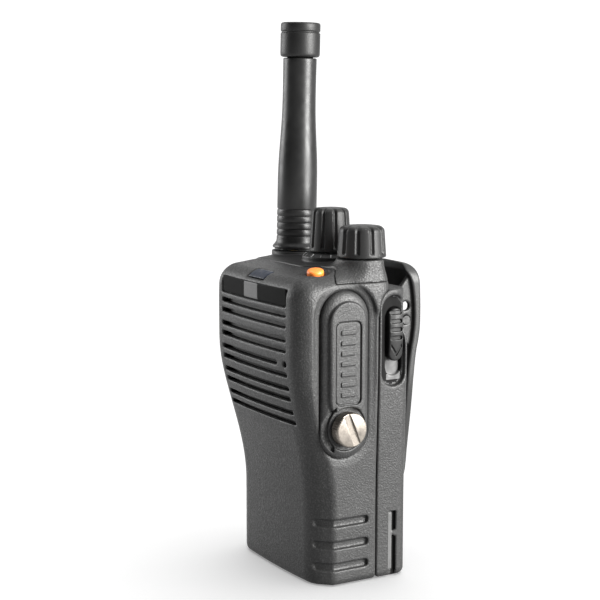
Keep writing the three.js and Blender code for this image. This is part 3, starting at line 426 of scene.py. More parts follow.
BRASS = metal("brass_turned", (0.70, 0.50, 0.21), (0.56, 0.39, 0.15), 0.3)

# how strongly each surface reflects, where that is not the usual half
SHINE = ((CASE, 0.38), (PANEL, 0.32), (PLATE_SKIN, 0.05), (PLATE_MARK, 0.45), (KNOB, 0.28),
         (CLIP, 0.32), (PAINTED_SHADE, 0.08), (WHIP, 0.32), (LATCH, 0.25), (LENS, 0.3))
for surface, level in SHINE:
    surface.node_tree.nodes["Principled BSDF"].inputs["Specular IOR Level"].default_value = level

BY_SLOT = {"moulded": CASE, "panel": PANEL, "knob": KNOB, "rubber": KEY, "lens": LENS,
           "alarm_orange": ORANGE, "steel": STEEL, "nickel": NICKEL, "alloy": ALLOY, "brass": BRASS,
           "circuit": BOARD, "cell": CELL}
for part in frame["record"]["subparts"]:
    node = frame["nodes"][part["node"]]
    node.data.materials.clear()
    node.data.materials.append(BLACKED if part["node"] == "clip_pin" else BY_SLOT[part["material_slot"]])

# ---------------------------------------------------------------- the casing's shared outline, in millimetres

CASE_LOW, CASE_HIGH = box_mm("front_case")
BATT_LOW, BATT_HIGH = box_mm("battery_housing")
HEAD_HALF = CASE_HIGH[0]
GRIP_HALF = HEAD_HALF - 1.2
HEAD_FRONT = -CASE_LOW[1]
GRIP_FRONT = HEAD_FRONT - 8.7
HEAD_BACK = CASE_HIGH[1]
SEAM = BATT_LOW[1] - 0.3
BATT_TOP = BATT_HIGH[2]
BROW_FRONT, BROW_TOP, TOP_SLOPE = 20.4, 104.6, 0.125
GRIP_END, HEAD_START = 26, 80  # the grip widens into the head between these heights
TOP_EDGE, BACK_EDGE, FOOT_EDGE = 6.5, 4.0, 2.4  # radii of the casing's round edges
KEY_Y = -9  # the middle of the push-to-talk key and of both side keys
PANEL_LOW, PANEL_HIGH = box_mm("top_panel")
DECK = PANEL_LOW[2]


def half_width(z):
    """Half the radio's width at a height: a narrow grip, a wide head and a slight taper at the top."""
    wide = smoothstep(GRIP_END, HEAD_START, z)
    return GRIP_HALF + (HEAD_HALF - GRIP_HALF) * wide - 1.3 * np.clip((z - 91) / 14, 0, 1.2) ** 2


def front_at(x, z):
    """How far the slightly bowed front stands out, as minus y."""
    return GRIP_FRONT + (HEAD_FRONT - GRIP_FRONT) * smoothstep(GRIP_END, HEAD_START, z) - (x / 24) ** 2


def outline(x, y, z):
    """Distances beyond the radio's front, sides and sloping top, as if casing and battery were one."""
    side = np.abs(x) - half_width(z)
    front = -y - front_at(x, z)
    top = np.maximum(z - (BROW_TOP + TOP_SLOPE * (y + BROW_FRONT)), z - (107 - (x / HEAD_HALF) ** 2))
    return front, side, top


def body_field(x, y, z, raise_top=0.0):
    """The radio's body with its edges: round ones on the head, which flatten to facets on the grip."""
    front, side, top = outline(x, y, z)
    d = isect(front, top - raise_top, TOP_EDGE)
    facet = isect(isect(d, (d + side + 5.6) * 0.7071, 3.0), side, 0.9)
    head = smoothstep(34, 76, z)
    d = head * isect(d, side, 6.3) + (1 - head) * facet
    return isect(d, -z, FOOT_EDGE), front


def battery_space(y, z, grow):
    """The side view of the battery's envelope: flat front face on the seam, round top edges."""
    return stadium(y, z, SEAM + 0.3 - grow, 60, -60, BATT_TOP + grow, 5.6 + grow)


COVER_LOW, COVER_HIGH = box_mm("accessory_cover")
COVER_Y = (COVER_LOW[1] + COVER_HIGH[1]) / 2
POCKET_HALF = (COVER_HIGH[1] - COVER_LOW[1]) / 2 + 0.3
SCREW_LOW, SCREW_HIGH = box_mm("thumbscrew")
SCREW_Z = (SCREW_LOW[2] + SCREW_HIGH[2]) / 2
KNOB_V = box_mm("volume_knob")
KNOB_C = box_mm("channel_knob")
VOL_X, CTRL_Y = ((KNOB_V[0] + KNOB_V[1]) / 2)[:2]
CHAN_X = ((KNOB_C[0] + KNOB_C[1]) / 2)[0]
GASKET = box_mm("antenna_gasket")
ANT_X = ((GASKET[0] + GASKET[1]) / 2)[0]
ALARM_LOW, ALARM_HIGH = box_mm("alarm_button")
ALARM_AXIS = np.array([0.17, -0.14, 0.975])
ALARM_AXIS = ALARM_AXIS / np.linalg.norm(ALARM_AXIS)
ALARM_R = 2.8
ALARM_FOOT = np.array([20.4, -13.4, 105.3])

PAIRS, PAIR_PITCH, SLOT_PITCH, TOP_SLOT = 5, 8.2, 3.55, 92.4
SLOT_HALF, SLOT_HIGH, SLOT_DEPTH = 22.6, 0.82, 3.2
GROOVES = (6.6, 14.1, 21.7)
# rectangles seen from the front or the side: the two ends across, the two ends in height, corner radius
PLATE = (-22.3, 22.3, 95.2, 101.0, 0.7)
PLATE_RECESS = (-22.7, 22.7, 94.9, 101.3, 0.9)
MARK = (-5.0, 4.4, 95.5, 100.7, 0.5)
PTT_FACE = (-14.4, -3.6, 61, 85, 3.2)
PTT_HOLE = (-14.75, -3.25, 60.6, 85.4, 3.4)
PTT_FLANGE = (-15.4, -2.6, 60.1, 85.9, 4.2)
SIDE_KEY_HEIGHTS = (92.5, 53.5)
KEY_HOLE_END = -26  # the x that the holes of the keys reach in to, and below that of the right side's holes
SIDE_HOLE_END = 23
COVER_RIM = 29.9  # the x of the outer edge of the cover's skirt


def to_axis(x, y, z, foot, axis):
    """Distance from an axis and height along it."""
    px, py, pz = x - foot[0], y - foot[1], z - foot[2]
    h = px * axis[0] + py * axis[1] + pz * axis[2]
    return np.sqrt(np.maximum(px ** 2 + py ** 2 + pz ** 2 - h ** 2, 1e-9)), h


def panel_edge(x):
    """The y of the control panel's front edge: straight, then swept back round the alarm button."""
    return -10.8 + 4.2 * np.exp(-((x - 17.5) / 8.5) ** 4)


def volume_boss(d, x, y, z):
    """The flared foot under the volume knob, which runs out over the casing's corner."""
    r, _ = to_axis(x, y, z, (VOL_X, CTRL_Y, 0), (0, 0, 1))
    boss = isect(r - (9.2 - 0.13 * (z - DECK)), z - 109.5, 0.5)
    boss = isect(boss, DECK - 9 - z, 0.5)
    return union(d, isect(boss, np.abs(x) - HEAD_HALF, 0.6), 3.4)


def grille_and_grooves(d, x, y, z, shell, front):
    """Cuts the short grooves round the grip's corners, and the loudspeaker's paired slots."""
    for z0 in GROOVES:
        bar = isect(np.abs(z - z0) - 1.35, y - 2.2, 1.2)
        bar = isect(bar, 23.4 - np.abs(x), 1.2)
        d = cut(d, isect(bar, -1.35 - shell, 0.6), 0.35)
    for pair in range(PAIRS):
        for row in range(2):
            z0 = TOP_SLOT - pair * PAIR_PITCH - row * SLOT_PITCH
            shorter = 5.5 if pair == 2 and row == 0 else 0
            slot = stadium(x, z, -SLOT_HALF, SLOT_HALF - shorter, z0 - SLOT_HIGH, z0 + SLOT_HIGH)
            d = cut(d, np.maximum(slot, -SLOT_DEPTH - front), 0.3)
    microphone = np.hypot(x - 21.6, z - (TOP_SLOT - 2 * PAIR_PITCH)) - 1.0
    return cut(d, np.maximum(microphone, -SLOT_DEPTH - front), 0.3)


def accessory_pocket(d, x, y, z):
    """Cuts the accessory cover's pocket, the socket behind it and the thumbscrew's hole."""
    pocket = stadium(y, z, COVER_Y - POCKET_HALF, COVER_Y + POCKET_HALF,
                     COVER_LOW[2] - 0.3, COVER_HIGH[2] + 0.3)
    d = cut(d, isect(pocket - 2.3, 29.5 + 0.3 * np.maximum(pocket, 0) - x, 0.4), 1.0)
    d = cut(d, np.maximum(pocket, 28.9 - x), 0.4)
    socket = stadium(y, z, COVER_Y - 4.6, COVER_Y + 4.6, 65, 88, 0.6)
    d = cut(d, np.maximum(socket, SIDE_HOLE_END - x), 0.2)
    return cut(d, np.maximum(np.hypot(y - COVER_Y, z - SCREW_Z) - 3.3, SIDE_HOLE_END - x), 0.2)


def case_field(x, y, z):
    """The front casing, with every recess and hole that the other pieces sit in."""
    shell, front = body_field(x, y, z)
    d = volume_boss(shell, x, y, z)
    d = isect(d, y - HEAD_BACK, BACK_EDGE)
    d = cut(d, battery_space(y, z, 0.3), 0.5)
    panel_seat = np.maximum(np.maximum(DECK - 0.12 - z, panel_edge(x) - 0.1 - y), -40 - x)
    d = cut(d, panel_seat, 0.1)
    d = grille_and_grooves(d, x, y, z, shell, front)
    d = cut(d, np.maximum(stadium(x, z, *PLATE_RECESS), -1.0 - front), 0.3)
    lens = np.maximum(np.abs(x) - 5.7, np.maximum(101.9 - z, y + 20.1))
    d = cut(d, np.maximum(lens, -1.3 - isect(front, outline(x, y, z)[2], TOP_EDGE)), 0.25)
    d = accessory_pocket(d, x, y, z)
    d = cut(d, np.maximum(stadium(y, z, *PTT_HOLE), x - KEY_HOLE_END), 0.3)
    for z0 in SIDE_KEY_HEIGHTS:
        d = cut(d, np.maximum(np.hypot(y - KEY_Y, z - z0) - 3.75, x - KEY_HOLE_END), 0.3)
    r, h = to_axis(x, y, z, ALARM_FOOT, ALARM_AXIS)
    d = cut(d, np.maximum(r - 4.6, -0.28 - h), 0.9)
    d = cut(d, np.maximum(r - ALARM_R - 0.35, -4.2 - h), 0.2)
    # the hollow behind, which is open towards the battery and a little deeper near the foot
    hollow = np.maximum(np.maximum(np.abs(x) - 27.1, np.abs(z - 46.9) - 44.7), 0.6 - y - 1.6 * (z < 24))
    return cut(d, hollow, 0.2)


def case_pick(x, y, z):
    """Painted shade inside the loudspeaker's slots, grained everywhere else."""
    front = -y - front_at(x, z)
    inside = (front < -1.5) & (np.abs(x) < 23.4) & (z > 54) & (z < 94)
    # the walls and floors of the slots take the near-black material as painted shade
    return np.where(inside & (y < -12), 1, 0)


moulded("case_shell", case_field, CASE_LOW - 0.3, CASE_HIGH + 0.3, 0.52, [CASE, PAINTED_SHADE], "radio", "moulded",
        ["front_case"], case_pick)


# ---------------------------------------------------------------- control panel

def panel_field(x, y, z):
    """The control panel on top, which follows the casing's outline and stands a little proud of it."""
    d, _ = body_field(x, y, z, 0.25)
    d = volume_boss(d, x, y, z)
    d = isect(d, y - HEAD_BACK, BACK_EDGE)
    d = isect(d, panel_edge(x) + 0.06 - y, 0.1)
    side = np.abs(x) - HEAD_HALF
    # the cone under the channel knob, which carries the dial's numbers
    r, _ = to_axis(x, y, z, (CHAN_X, CTRL_Y, 0), (0, 0, 1))
    top = KNOB_C[0][2] - 0.45
    scale = isect(np.maximum(r - 9.7, 0.555 * (r - 8.0) + 0.832 * (z - top)), z - top, 0.3)
    d = union(d, isect(scale, y - HEAD_BACK, 0.5), 0.5)
    # the round seat of the antenna
    r, _ = to_axis(x, y, z, (ANT_X, CTRL_Y, 0), (0, 0, 1))
    seat = isect(isect(r - 8.7, z - 108.15, 0.4), side, 0.4)
    d = union(d, isect(seat, y - HEAD_BACK, 0.5), 0.8)
    d = np.maximum(d, DECK - z)
    for centre, radius in ((VOL_X, 3.4), (CHAN_X, 3.4), (ANT_X, 3.8)):
        r, _ = to_axis(x, y, z, (centre, CTRL_Y, 0), (0, 0, 1))
        d = cut(d, r - radius, 0.15)
    r, h = to_axis(x, y, z, ALARM_FOOT, ALARM_AXIS)
    return cut(d, np.maximum(r - 4.9, -9 - h), 0.3)


def panel_pick(x, y, z):
    """The grain of the casing runs up over the foot of the volume knob."""
    r = np.hypot(x - VOL_X, y - CTRL_Y)
    return np.where((x > VOL_X - 3) & (r > 7.9) & (z < 109.3), 1, 0)


moulded("panel_shell", panel_field, PANEL_LOW + [0, -0.3, 0], PANEL_HIGH + [0, 0, 0.3], 0.36,
        [PANEL, CASE], "radio", "panel", ["top_panel"], panel_pick)


DIAL_RADIUS, DIAL_SLOPE = 8.85, math.radians(33.7)
CHANNELS, FIRST_ANGLE = 16, 60


def dial_mark(number, text, angle, size):
    """One printed figure or tick on the cone under the channel knob."""
    name = "dial_mark_%d" % number
    curve = bpy.data.curves.new(name, "FONT")
    curve.body = text
    curve.size = size * MM
    curve.extrude = 0.05 * MM
    curve.align_x = "CENTER"
    curve.align_y = "CENTER"
    curve.resolution_u = 3
    obj = bpy.data.objects.new(name, curve)
    bpy.context.scene.collection.objects.link(obj)
    obj.matrix_world = (Matrix.Translation(Vector((CHAN_X, CTRL_Y, KNOB_C[0][2] - 1.0)) * MM)
                        @ Matrix.Rotation(angle, 4, "Z")
                        @ Matrix.Translation(Vector((0, -DIAL_RADIUS, 0)) * MM)
                        @ Matrix.Rotation(DIAL_SLOPE, 4, "X"))
    curve.materials.append(PRINT)
    bpy.context.view_layer.update()
    mesh = bpy.data.meshes.new_from_object(obj.evaluated_get(bpy.context.evaluated_depsgraph_get()))
    world = obj.matrix_world.copy()
    bpy.data.objects.remove(obj)
    mesh.transform(world)
    solid = bpy.data.objects.new(name, mesh)
    place(solid, "radio", "panel")


for step in range(CHANNELS):
    turn = math.radians(FIRST_ANGLE - 360 / CHANNELS * step)
    if step % 2 == 0:
        dial_mark(step + 1, str(step + 1), turn, 2.0)
    else:
        dial_mark(step + 1, "|", turn, 1.3)


# ---------------------------------------------------------------- name plate, lens and buttons

def plate_field(x, y, z):
    """The blank name plate, sunk a little below the front, with a blank raised mark."""
    front = -y - front_at(x, z)
    d = isect(stadium(x, z, *PLATE), front + 0.35, 0.25)
    d = np.maximum(d, -0.92 - front)
    mark = isect(stadium(x, z, *MARK), front + 0.22, 0.1)
    return np.minimum(d, np.maximum(mark, -0.9 - front))


def plate_pick(x, y, z):
    """Grey on the raised blank in the middle, black on the rest of the plate."""
    return np.where(stadium(x, z, *MARK) < 0.05, 1, 0)


PLATE_BOX = box_mm("name_plate")
moulded("name_plate_blank", plate_field, PLATE_BOX[0], PLATE_BOX[1] + [0, 1.2, 0], 0.3,
        [PLATE_SKIN, PLATE_MARK], "radio", "panel", ["name_plate"], plate_pick)


def lens_field(x, y, z):
    """The indicator's lens, which follows the round edge between the front and the top."""
    front, _, top = outline(x, y, z)
    skin = isect(front, top, TOP_EDGE)
    d = isect(np.maximum(np.abs(x) - 5.35, np.maximum(102.2 - z, y + 20.45)), skin + 0.02, 0.4)
    return np.maximum(d, -1.25 - skin)


LENS_BOX = box_mm("led_lens")
moulded("indicator_lens", lens_field, LENS_BOX[0] - 0.5, LENS_BOX[1] + 0.5, 0.22, [LENS], "radio", "lens",
        ["led_lens"])


def alarm_field(x, y, z):
    """The alarm button: a low dome on a stem, with a wider rim below the casing's surface."""
    r, h = to_axis(x, y, z, ALARM_FOOT, ALARM_AXIS)
    dome = h - 1.3 + 0.03 * r ** 2
    d = np.maximum(isect(r - ALARM_R, dome, 0.7), -2.4 - h)
    return np.minimum(d, isect(isect(r - 3.7, h + 2.3, 0.1), -2.9 - h, 0.1))


moulded("alarm_cap", alarm_field, ALARM_LOW, ALARM_HIGH, 0.17, [ORANGE], "alarm", "alarm_orange",
        ["alarm_button"])


def ptt_field(x, y, z):
    """The push-to-talk key: a bowed face with nine ribs, and a flange inside the casing."""
    face = -x - 31.55 + 0.04 * (y - KEY_Y) ** 2
    d = isect(stadium(y, z, *PTT_FACE), face, 0.9)
    d = np.maximum(d, x + 27.9)
    for i in range(9):
        z0 = 64.6 + 2.1 * i
        rib = stadium(y, z, -12.4, -5.6, z0 - 0.45, z0 + 0.45)
        d = union(d, isect(rib, face - 0.4, 0.25), 0.2)
    flange = isect(stadium(y, z, *PTT_FLANGE), np.abs(x + 27.05) - 0.45, 0.1)
    return np.minimum(d, flange)


PTT_BOX = box_mm("ptt_button")
moulded("ptt_key", ptt_field, PTT_BOX[0] - 0.5, PTT_BOX[1], 0.28, [KEY], "push_to_talk", "rubber",
        ["ptt_button"])


def side_key(name, node, body, marks):
    """A round key with a flange inside the casing and one or more raised dots on its face."""
    low, high = box_mm(node)
    zc = (low[2] + high[2]) / 2

    def field(x, y, z):
        r = np.hypot(y - KEY_Y, z - zc)
        face = low[0] - x + 0.05 * r ** 2
        d = np.maximum(isect(r - 3.4, face, 0.8), x - high[0] + 0.9)
        for k in range(marks):
            dot = np.hypot(y - KEY_Y, z - zc - 1.5 * (k - (marks - 1) / 2)) - 0.45
            d = union(d, isect(dot, face - 0.25, 0.2), 0.2)
        return np.minimum(d, isect(r - 4.4, np.abs(x - high[0] + 0.48) - 0.45, 0.1))

    moulded(name, field, low - 0.3, high, 0.2, [KEY], body, "rubber", [node])


side_key("upper_key", "side_button_upper", "side_key_upper", 1)
side_key("lower_key", "side_button_lower", "side_key_lower", 2)


# ---------------------------------------------------------------- accessory cover and its thumbscrew

def cover_field(x, y, z):
    """The accessory cover: a low skirt, a raised pad with a label recess, and the thumbscrew's dish."""
    skirt = stadium(y, z, COVER_LOW[1], COVER_HIGH[1], COVER_LOW[2], COVER_HIGH[2])
    flank = 0.66 * (x - COVER_RIM) + 0.75 * skirt
    d = isect(isect(skirt, flank, 0.5), x - 31.5, 1.2)
    pad = stadium(y, z, COVER_Y - 7.3, COVER_Y + 7.3, SCREW_Z + 3.6, 96.8)
    raised = isect(isect(pad, flank, 0.8), x - COVER_HIGH[0], 0.6)
    d = union(d, raised, 0.5)
    label = stadium(y, z, COVER_Y - 4.9, COVER_Y + 4.9, 62.4, 90.3, 1.9)
    d = cut(d, np.maximum(label, COVER_HIGH[0] - 0.75 - x), 0.25)
    r = np.hypot(y - COVER_Y, z - SCREW_Z)
    d = cut(d, np.maximum(r - 7.4, 30.9 - x), 0.4)
    inner = 8.0 - np.hypot(y - COVER_Y - 1.2, z - SCREW_Z)
    crescent = np.maximum(np.maximum(r - 9.0, inner), y - COVER_Y + 4.6)
    d = cut(d, np.maximum(crescent, COVER_RIM - x), 0.25)
    d = np.maximum(d, COVER_LOW[0] - x)
    d = cut(d, np.maximum(r - 2.3, x - 60), 0.2)
    return cut(d, np.maximum(r - 3.9, x - 30.1), 0.2)


moulded("cover_shell", cover_field, COVER_LOW, COVER_HIGH, 0.25, [CASE], "cover", "moulded",
        ["accessory_cover"])


def badge_field(x, y, z):
    """The blank label on the cover, with seven bars where the real one carries lettering."""
    plate = stadium(y, z, COVER_Y - 4.6, COVER_Y + 4.6, 62.8, 89.9, 1.6)
    top = COVER_HIGH[0] - 0.42
    d = isect(plate, x - top, 0.12)
    for i in range(7):
        z0 = 66.0 + 3.45 * i
        bar = stadium(y, z, COVER_Y - 2.8, COVER_Y + 2.8, z0 - 0.8, z0 + 0.8, 0.4)
        d = union(d, isect(bar, x - top - 0.4, 0.2), 0.1)
    return np.maximum(d, COVER_HIGH[0] - 0.68 - x)


BADGE = box_mm("cover_badge")
moulded("cover_label_blank", badge_field, BADGE[0], BADGE[1] + [0.3, 0, 0], 0.2, [CASE], "cover", "panel",
        ["cover_badge"])


SLOT_TURN = math.radians(22)


def screw_field(x, y, z):
    """The thumbscrew: a finely knurled, domed head with a coin slot, on a plain shank."""
    py, pz = y - COVER_Y, z - SCREW_Z
    r = np.hypot(py, pz)
    angle = np.arctan2(pz, py)
    knurl = 0.16 * np.abs(np.sin(24 * angle)) * smoothstep(4.6, 5.4, r)
    top = x - SCREW_HIGH[0] + 0.012 * r ** 2
    d = isect(r - 5.85 + knurl, top, 0.55)
    d = np.maximum(d, 31.2 - x)
    across = py * math.cos(SLOT_TURN) + pz * math.sin(SLOT_TURN)
    d = cut(d, np.maximum(np.abs(across) - 1.25, SCREW_HIGH[0] - 0.8 - x), 0.15)
    return np.minimum(d, np.maximum(r - 1.9, np.maximum(SCREW_LOW[0] - x, x - 31.6)))


moulded("thumb_screw", screw_field, SCREW_LOW, SCREW_HIGH, 0.17, [NICKEL], "cover_screw", "nickel",
        ["thumbscrew"])


# ---------------------------------------------------------------- knobs

KNOB_GROOVES = 10


def knob(name, node, body, radius, centre, turn):
    """A tapered knob with finger grooves down its side that run out over the edge of its top."""
    low, high = box_mm(node)
    bottom, top = low[2], high[2]

    def field(x, y, z):
        px, py = x - centre[0], y - centre[1]
        r = np.hypot(px, py)
        angle = np.arctan2(py, px) + turn
        h = z - bottom
        wall = radius - 0.07 * h
        phase = np.cos(KNOB_GROOVES * angle)
        groove = 0.65 * np.clip((phase - 0.45) / 0.55, 0, 1) * smoothstep(0.8, 2.0, h)
        scallop = 0.55 * np.clip(phase, 0, 1) * smoothstep(radius * 0.45, radius * 0.9, r)
        d = isect(r - wall + groove, z - top + 0.012 * r ** 2 + scallop, 1.4)
        d = isect(d, bottom - z, 0.35)
        hollow = np.maximum(np.maximum(r - radius + 2, 4.6 - r), z - top + 4)
        d = cut(d, hollow, 0.2)
        return cut(d, np.maximum(r - 3.1, z - top + 3), 0.15)

    moulded(name, field, low, high, 0.2, [KNOB], body, "knob", [node])


knob("volume_dial", "volume_knob", "volume_control", 8.2, (VOL_X, CTRL_Y), 0.12)
knob("channel_dial", "channel_knob", "channel_control", 7.3, (CHAN_X, CTRL_Y), 0.30)


# ---------------------------------------------------------------- antenna

LEAN = math.radians(1.4)
FOOT_Z = 108.9
ANTENNA = Matrix.Translation((ANT_X, CTRL_Y, FOOT_Z)) @ Matrix.Rotation(-LEAN, 4, "X")


def whip_profile():
    """The sheath's outline, from its flared foot over five ribs and a waist to the neck in the cap."""
    wall = smooth_curve([(7.05, 22.5), (7.02, 26), (6.88, 31), (6.55, 37), (6.2, 43), (5.98, 48),
                         (5.88, 54), (5.88, 60), (5.93, 66.6)], 6)
    ribs = []
    for i in range(5):
        z = 4.4 + 2.35 * i
        ribs += [(7.05, z - 0.5), (7.0, z - 0.3), (6.86, z - 0.12), (6.83, z)]
        ribs += [(6.86, z + 0.12), (7.0, z + 0.3), (7.05, z + 0.5)]
    foot = [(2.2, 0), (8.1, 0), (8.35, 0.12), (8.45, 0.4), (8.35, 0.75), (8.0, 1.2), (7.5, 1.8),
            (7.2, 2.4), (7.05, 3.0)]
    end = [(5.85, 67.0), (5.4, 67.1), (4.6, 67.1), (4.6, 76.3), (4.4, 76.5), (0, 76.5)]
    return foot + ribs + [tuple(p) for p in wall] + end


BORE = [(0, 10), (2.2, 10)]
turned("antenna_sheath", BORE + whip_profile(), 72, [WHIP], "antenna", "rubber", ["antenna_whip"], ANTENNA)
# the cap's outline: rim, wall with one fine groove, rounded top, and the hollow over the sheath's neck
CAP = [(4.9, 67.45), (6.0, 67.45), (6.5, 67.55), (6.8, 67.8), (6.95, 68.2), (7.0, 68.8),
       (7.0, 75.55), (6.95, 75.72), (6.72, 75.87), (6.66, 76.1), (6.72, 76.33), (6.95, 76.48),
       (7.0, 76.65), (7.0, 78.5), (6.93, 78.95), (6.72, 79.25), (6.3, 79.4), (4.5, 79.44), (0, 79.44),
       (0, 76.9), (4.9, 76.9), (4.9, 67.45)]
turned("antenna_tip", CAP, 72, [KNOB], "antenna", "knob", ["antenna_cap"], ANTENNA)


# ---------------------------------------------------------------- battery and its latches

LATCH_LOW, LATCH_HIGH = box_mm("battery_latch_right")
LATCH_Y = (LATCH_LOW[1] + LATCH_HIGH[1]) / 2
LATCH_HALF = (LATCH_HIGH[1] - LATCH_LOW[1]) / 2 + 0.3
LATCH_TRAVEL = 5.2
RAIL_STRIP = (10.45, 12.1, 2.4, 22.6, 0.2)  # seen from the side, as in PTT_FACE


def battery_field(x, y, z):
    """The battery's shell, whose sides carry on the casing's outline."""
    side = np.abs(x) - half_width(np.minimum(z, 91))
    d = isect(side, y - BATT_HIGH[1], 3.2 + 3.6 * smoothstep(80, 88, z))
    d = isect(d, battery_space(y, z, 0), 0.6)
    d = isect(d, -z, FOOT_EDGE)
    # on both sides: the finger dish round the latch, then the slot that the latch slides in
    dish = stadium(y, z, 6.7, 16.3, 66.6, 97.4)
    d = cut(d, isect(dish, HEAD_HALF - 2.2 - np.abs(x), 0.6), 0.7)
    slot = stadium(y, z, LATCH_Y - LATCH_HALF, LATCH_Y + LATCH_HALF,
                   LATCH_LOW[2] - LATCH_TRAVEL, LATCH_HIGH[2] + 0.3)
    d = cut(d, np.maximum(slot, LATCH_LOW[0] - 0.3 - np.abs(x)), 0.2)
    # on both sides: the charger's rail at the foot, with a grey strip and a stud in it
    rail = stadium(y, z, 10.4, 13.4, -8, 23.0, 0.25)
    d = cut(d, np.maximum(rail, GRIP_HALF - 1.2 - np.abs(x)), 0.2)
    strip = isect(stadium(y, z, *RAIL_STRIP), np.abs(np.abs(x) - GRIP_HALF + 1) - 0.55, 0.15)
    d = np.minimum(d, strip)
    stud = isect(np.hypot(y - 13.3, z - 15.2) - 1.15, np.abs(np.abs(x) - GRIP_HALF + 0.8) - 0.75, 0.15)
    d = np.minimum(d, stud)
    # the hollow for the cells, which the lid closes, and the holes of the clip's two screws
    lid = np.maximum(np.maximum(np.abs(x) - 27.5, np.abs(z - 47.6) - 45.8), y - 8.0)
    d = cut(d, lid, 0.2)
    for centre in (-7, 7):
        screw = np.hypot(x - centre, z - 68) - 1.25 + 100 * (y < 12)
        d = cut(d, screw, 0.1)
    return d


def battery_pick(x, y, z):
    """Grey on the strips and under the latches, painted shade in the dishes and in the rail's gap, grained
    everywhere else.
    """
    out = np.abs(x)
    under_latch = (out < HEAD_HALF - 1.4) & (out > 26) & (z > 68.5) & (z < LATCH_LOW[2] + 1.5)
    under_latch &= np.abs(y - LATCH_Y) < LATCH_HALF - 0.5
    strip = (out > GRIP_HALF - 1.4) & (stadium(y, z, 10.3, 12.2, 2.2, 22.8, 0.2) < 0.1) & (z < 24)
    # painted shadow: the far part of the charger's rail, where its wall falls in shade
    rail_shadow = (out < GRIP_HALF - 0.35) & (out > GRIP_HALF - 1.6) & (y > 12.1) & (y < 13.5) & (z < 23)
    # painted shade: the floors of the dishes round the latches
    dish = (stadium(y, z, 6.9, 16.1, 66.8, 97.2) < -0.35) & (out > 26) & (out < HEAD_HALF - 1.0)
    return np.where(under_latch | strip, 1, np.where(rail_shadow | dish, 2, 0))


moulded("battery_shell", battery_field, BATT_LOW, BATT_HIGH, 0.5, [CASE, STRIP, PAINTED_SHADE], "battery", "moulded",
        ["battery_housing"], battery_pick)


def latch(name, node, body, side):
    """A bowed slider with four finger grooves, and a V-shaped mark below them."""
    low, high = box_mm(node)
    face = max(abs(low[0]), abs(high[0]))

    def field(x, y, z):
        out = side * x
        plate = stadium(y, z, low[1], high[1], low[2], high[2])
        bow = out - face - 0.7 + 0.00875 * (z - 84) ** 2 + 0.05 * (y - LATCH_Y) ** 2
        d = isect(plate, bow, 0.5)
        for z0 in (91.4, 88.5, 85.7, 82.9):
            groove = stadium(y, z, LATCH_Y - 2.3, LATCH_Y + 2.3, z0 - 0.62, z0 + 0.62)
            d = cut(d, np.maximum(groove, -0.75 - bow), 0.22)
        arm = np.abs(y - LATCH_Y) - 2.1
        vee = np.maximum(np.abs(z - 77.2 - 1.45 * np.abs(y - LATCH_Y)) - 0.62, arm)
        d = cut(d, np.maximum(vee, -0.4 - bow), 0.12)
        return np.maximum(d, face - 2.6 - out)

    moulded(name, field, low - 0.8, high + 0.8, 0.17, [LATCH], body, "panel", [node])


latch("latch_slider_right", "battery_latch_right", "latch_right", 1)
latch("latch_slider_left", "battery_latch_left", "latch_left", -1)


# ---------------------------------------------------------------- belt clip

LEVER_LOW, LEVER_HIGH = box_mm("clip_lever")
# the lever seen from the side, as (y, z): down its outer face, then up its inner face
OUTER = [(24.4, 106.4), (26.8, 105.6), (28.4, 103.2), (29.05, 98), (29.3, 91), (29.2, 84), (28.6, 79.5),
         (27.7, 75), (27, 68.9), (26.6, 62.9), (26.6, 49.2), (26.2, 39.1), (25.3, 31.9), (23.6, 29),
         (21.2, 28.3)]
INNER = [(18.7, 30.4), (18.7, 33), (20.6, 34.1), (22.2, 34.9), (23.4, 39.4), (23.9, 49), (23.9, 62.6),
         (24.3, 69), (25.2, 75.6), (26, 80), (26.6, 85), (26.6, 91), (26, 97), (25, 101.2),
         (23.9, 103.6)]
LEVER_SIDE = np.vstack([smooth_curve(OUTER, 3), smooth_curve(INNER, 3)])
LEVER_HALF = LEVER_HIGH[0]
EAR_SIDE = [(27.2, 102), (24.5, 101.2), (19, 94.7), (18.7, 84), (20.6, 80), (26.6, 77)]
PIN = (24.0, 86.5)
LANYARD_HOLE = (23.9, 91.3)


def lever_field(x, y, z):
    """The clip's lever: its side outline, narrower at the foot, with two grooves and a strap slot."""
    profile = polygon(y + 0 * z, z + 0 * y, LEVER_SIDE)
    width = LEVER_HALF - 3 + 3 * smoothstep(38, 68, z)
    corner = isect(np.abs(x) - width, z - 106.6 + 0.0022 * x ** 2, 6.5)
    d = isect(profile, corner, 0.7)
    grooves = np.maximum(np.abs(np.abs(x) - 9.0) - 0.8, np.abs(z - 58) - 22)
    d = cut(d, isect(grooves, 25.9 - y, 0.4), 0.4)
    return cut(d, stadium(x, z, -16.1, 16.1, 88.4, 92.4, 1.2), 0.3)


def ear_field(x, y, z):
    """The lever's two ears, which turn on the pin."""
    ear = polygon(y + 0 * z, z + 0 * y, EAR_SIDE)
    d = isect(ear, np.abs(np.abs(x) - 17.6) - 0.8, 0.25)
    d = cut(d, np.hypot(y - PIN[0], z - PIN[1]) - 1.6, 0.12)
    return cut(d, np.hypot(y - LANYARD_HOLE[0], z - LANYARD_HOLE[1]) - 1.6, 0.2)


def clip_field(x, y, z):
    """The lever with its ears, as one moulding."""
    return union(lever_field(x, y, z), ear_field(x, y, z), 0.5)


moulded("clip_plate", clip_field, LEVER_LOW, LEVER_HIGH + [0, 0.1, 0.2], 0.42, [CLIP], "belt_clip", "panel",
        ["clip_lever"])


# ---------------------------------------------------------------- floor, light and camera

SHEET_WHITE, SHEET_GLOW = 0.9, 0.28


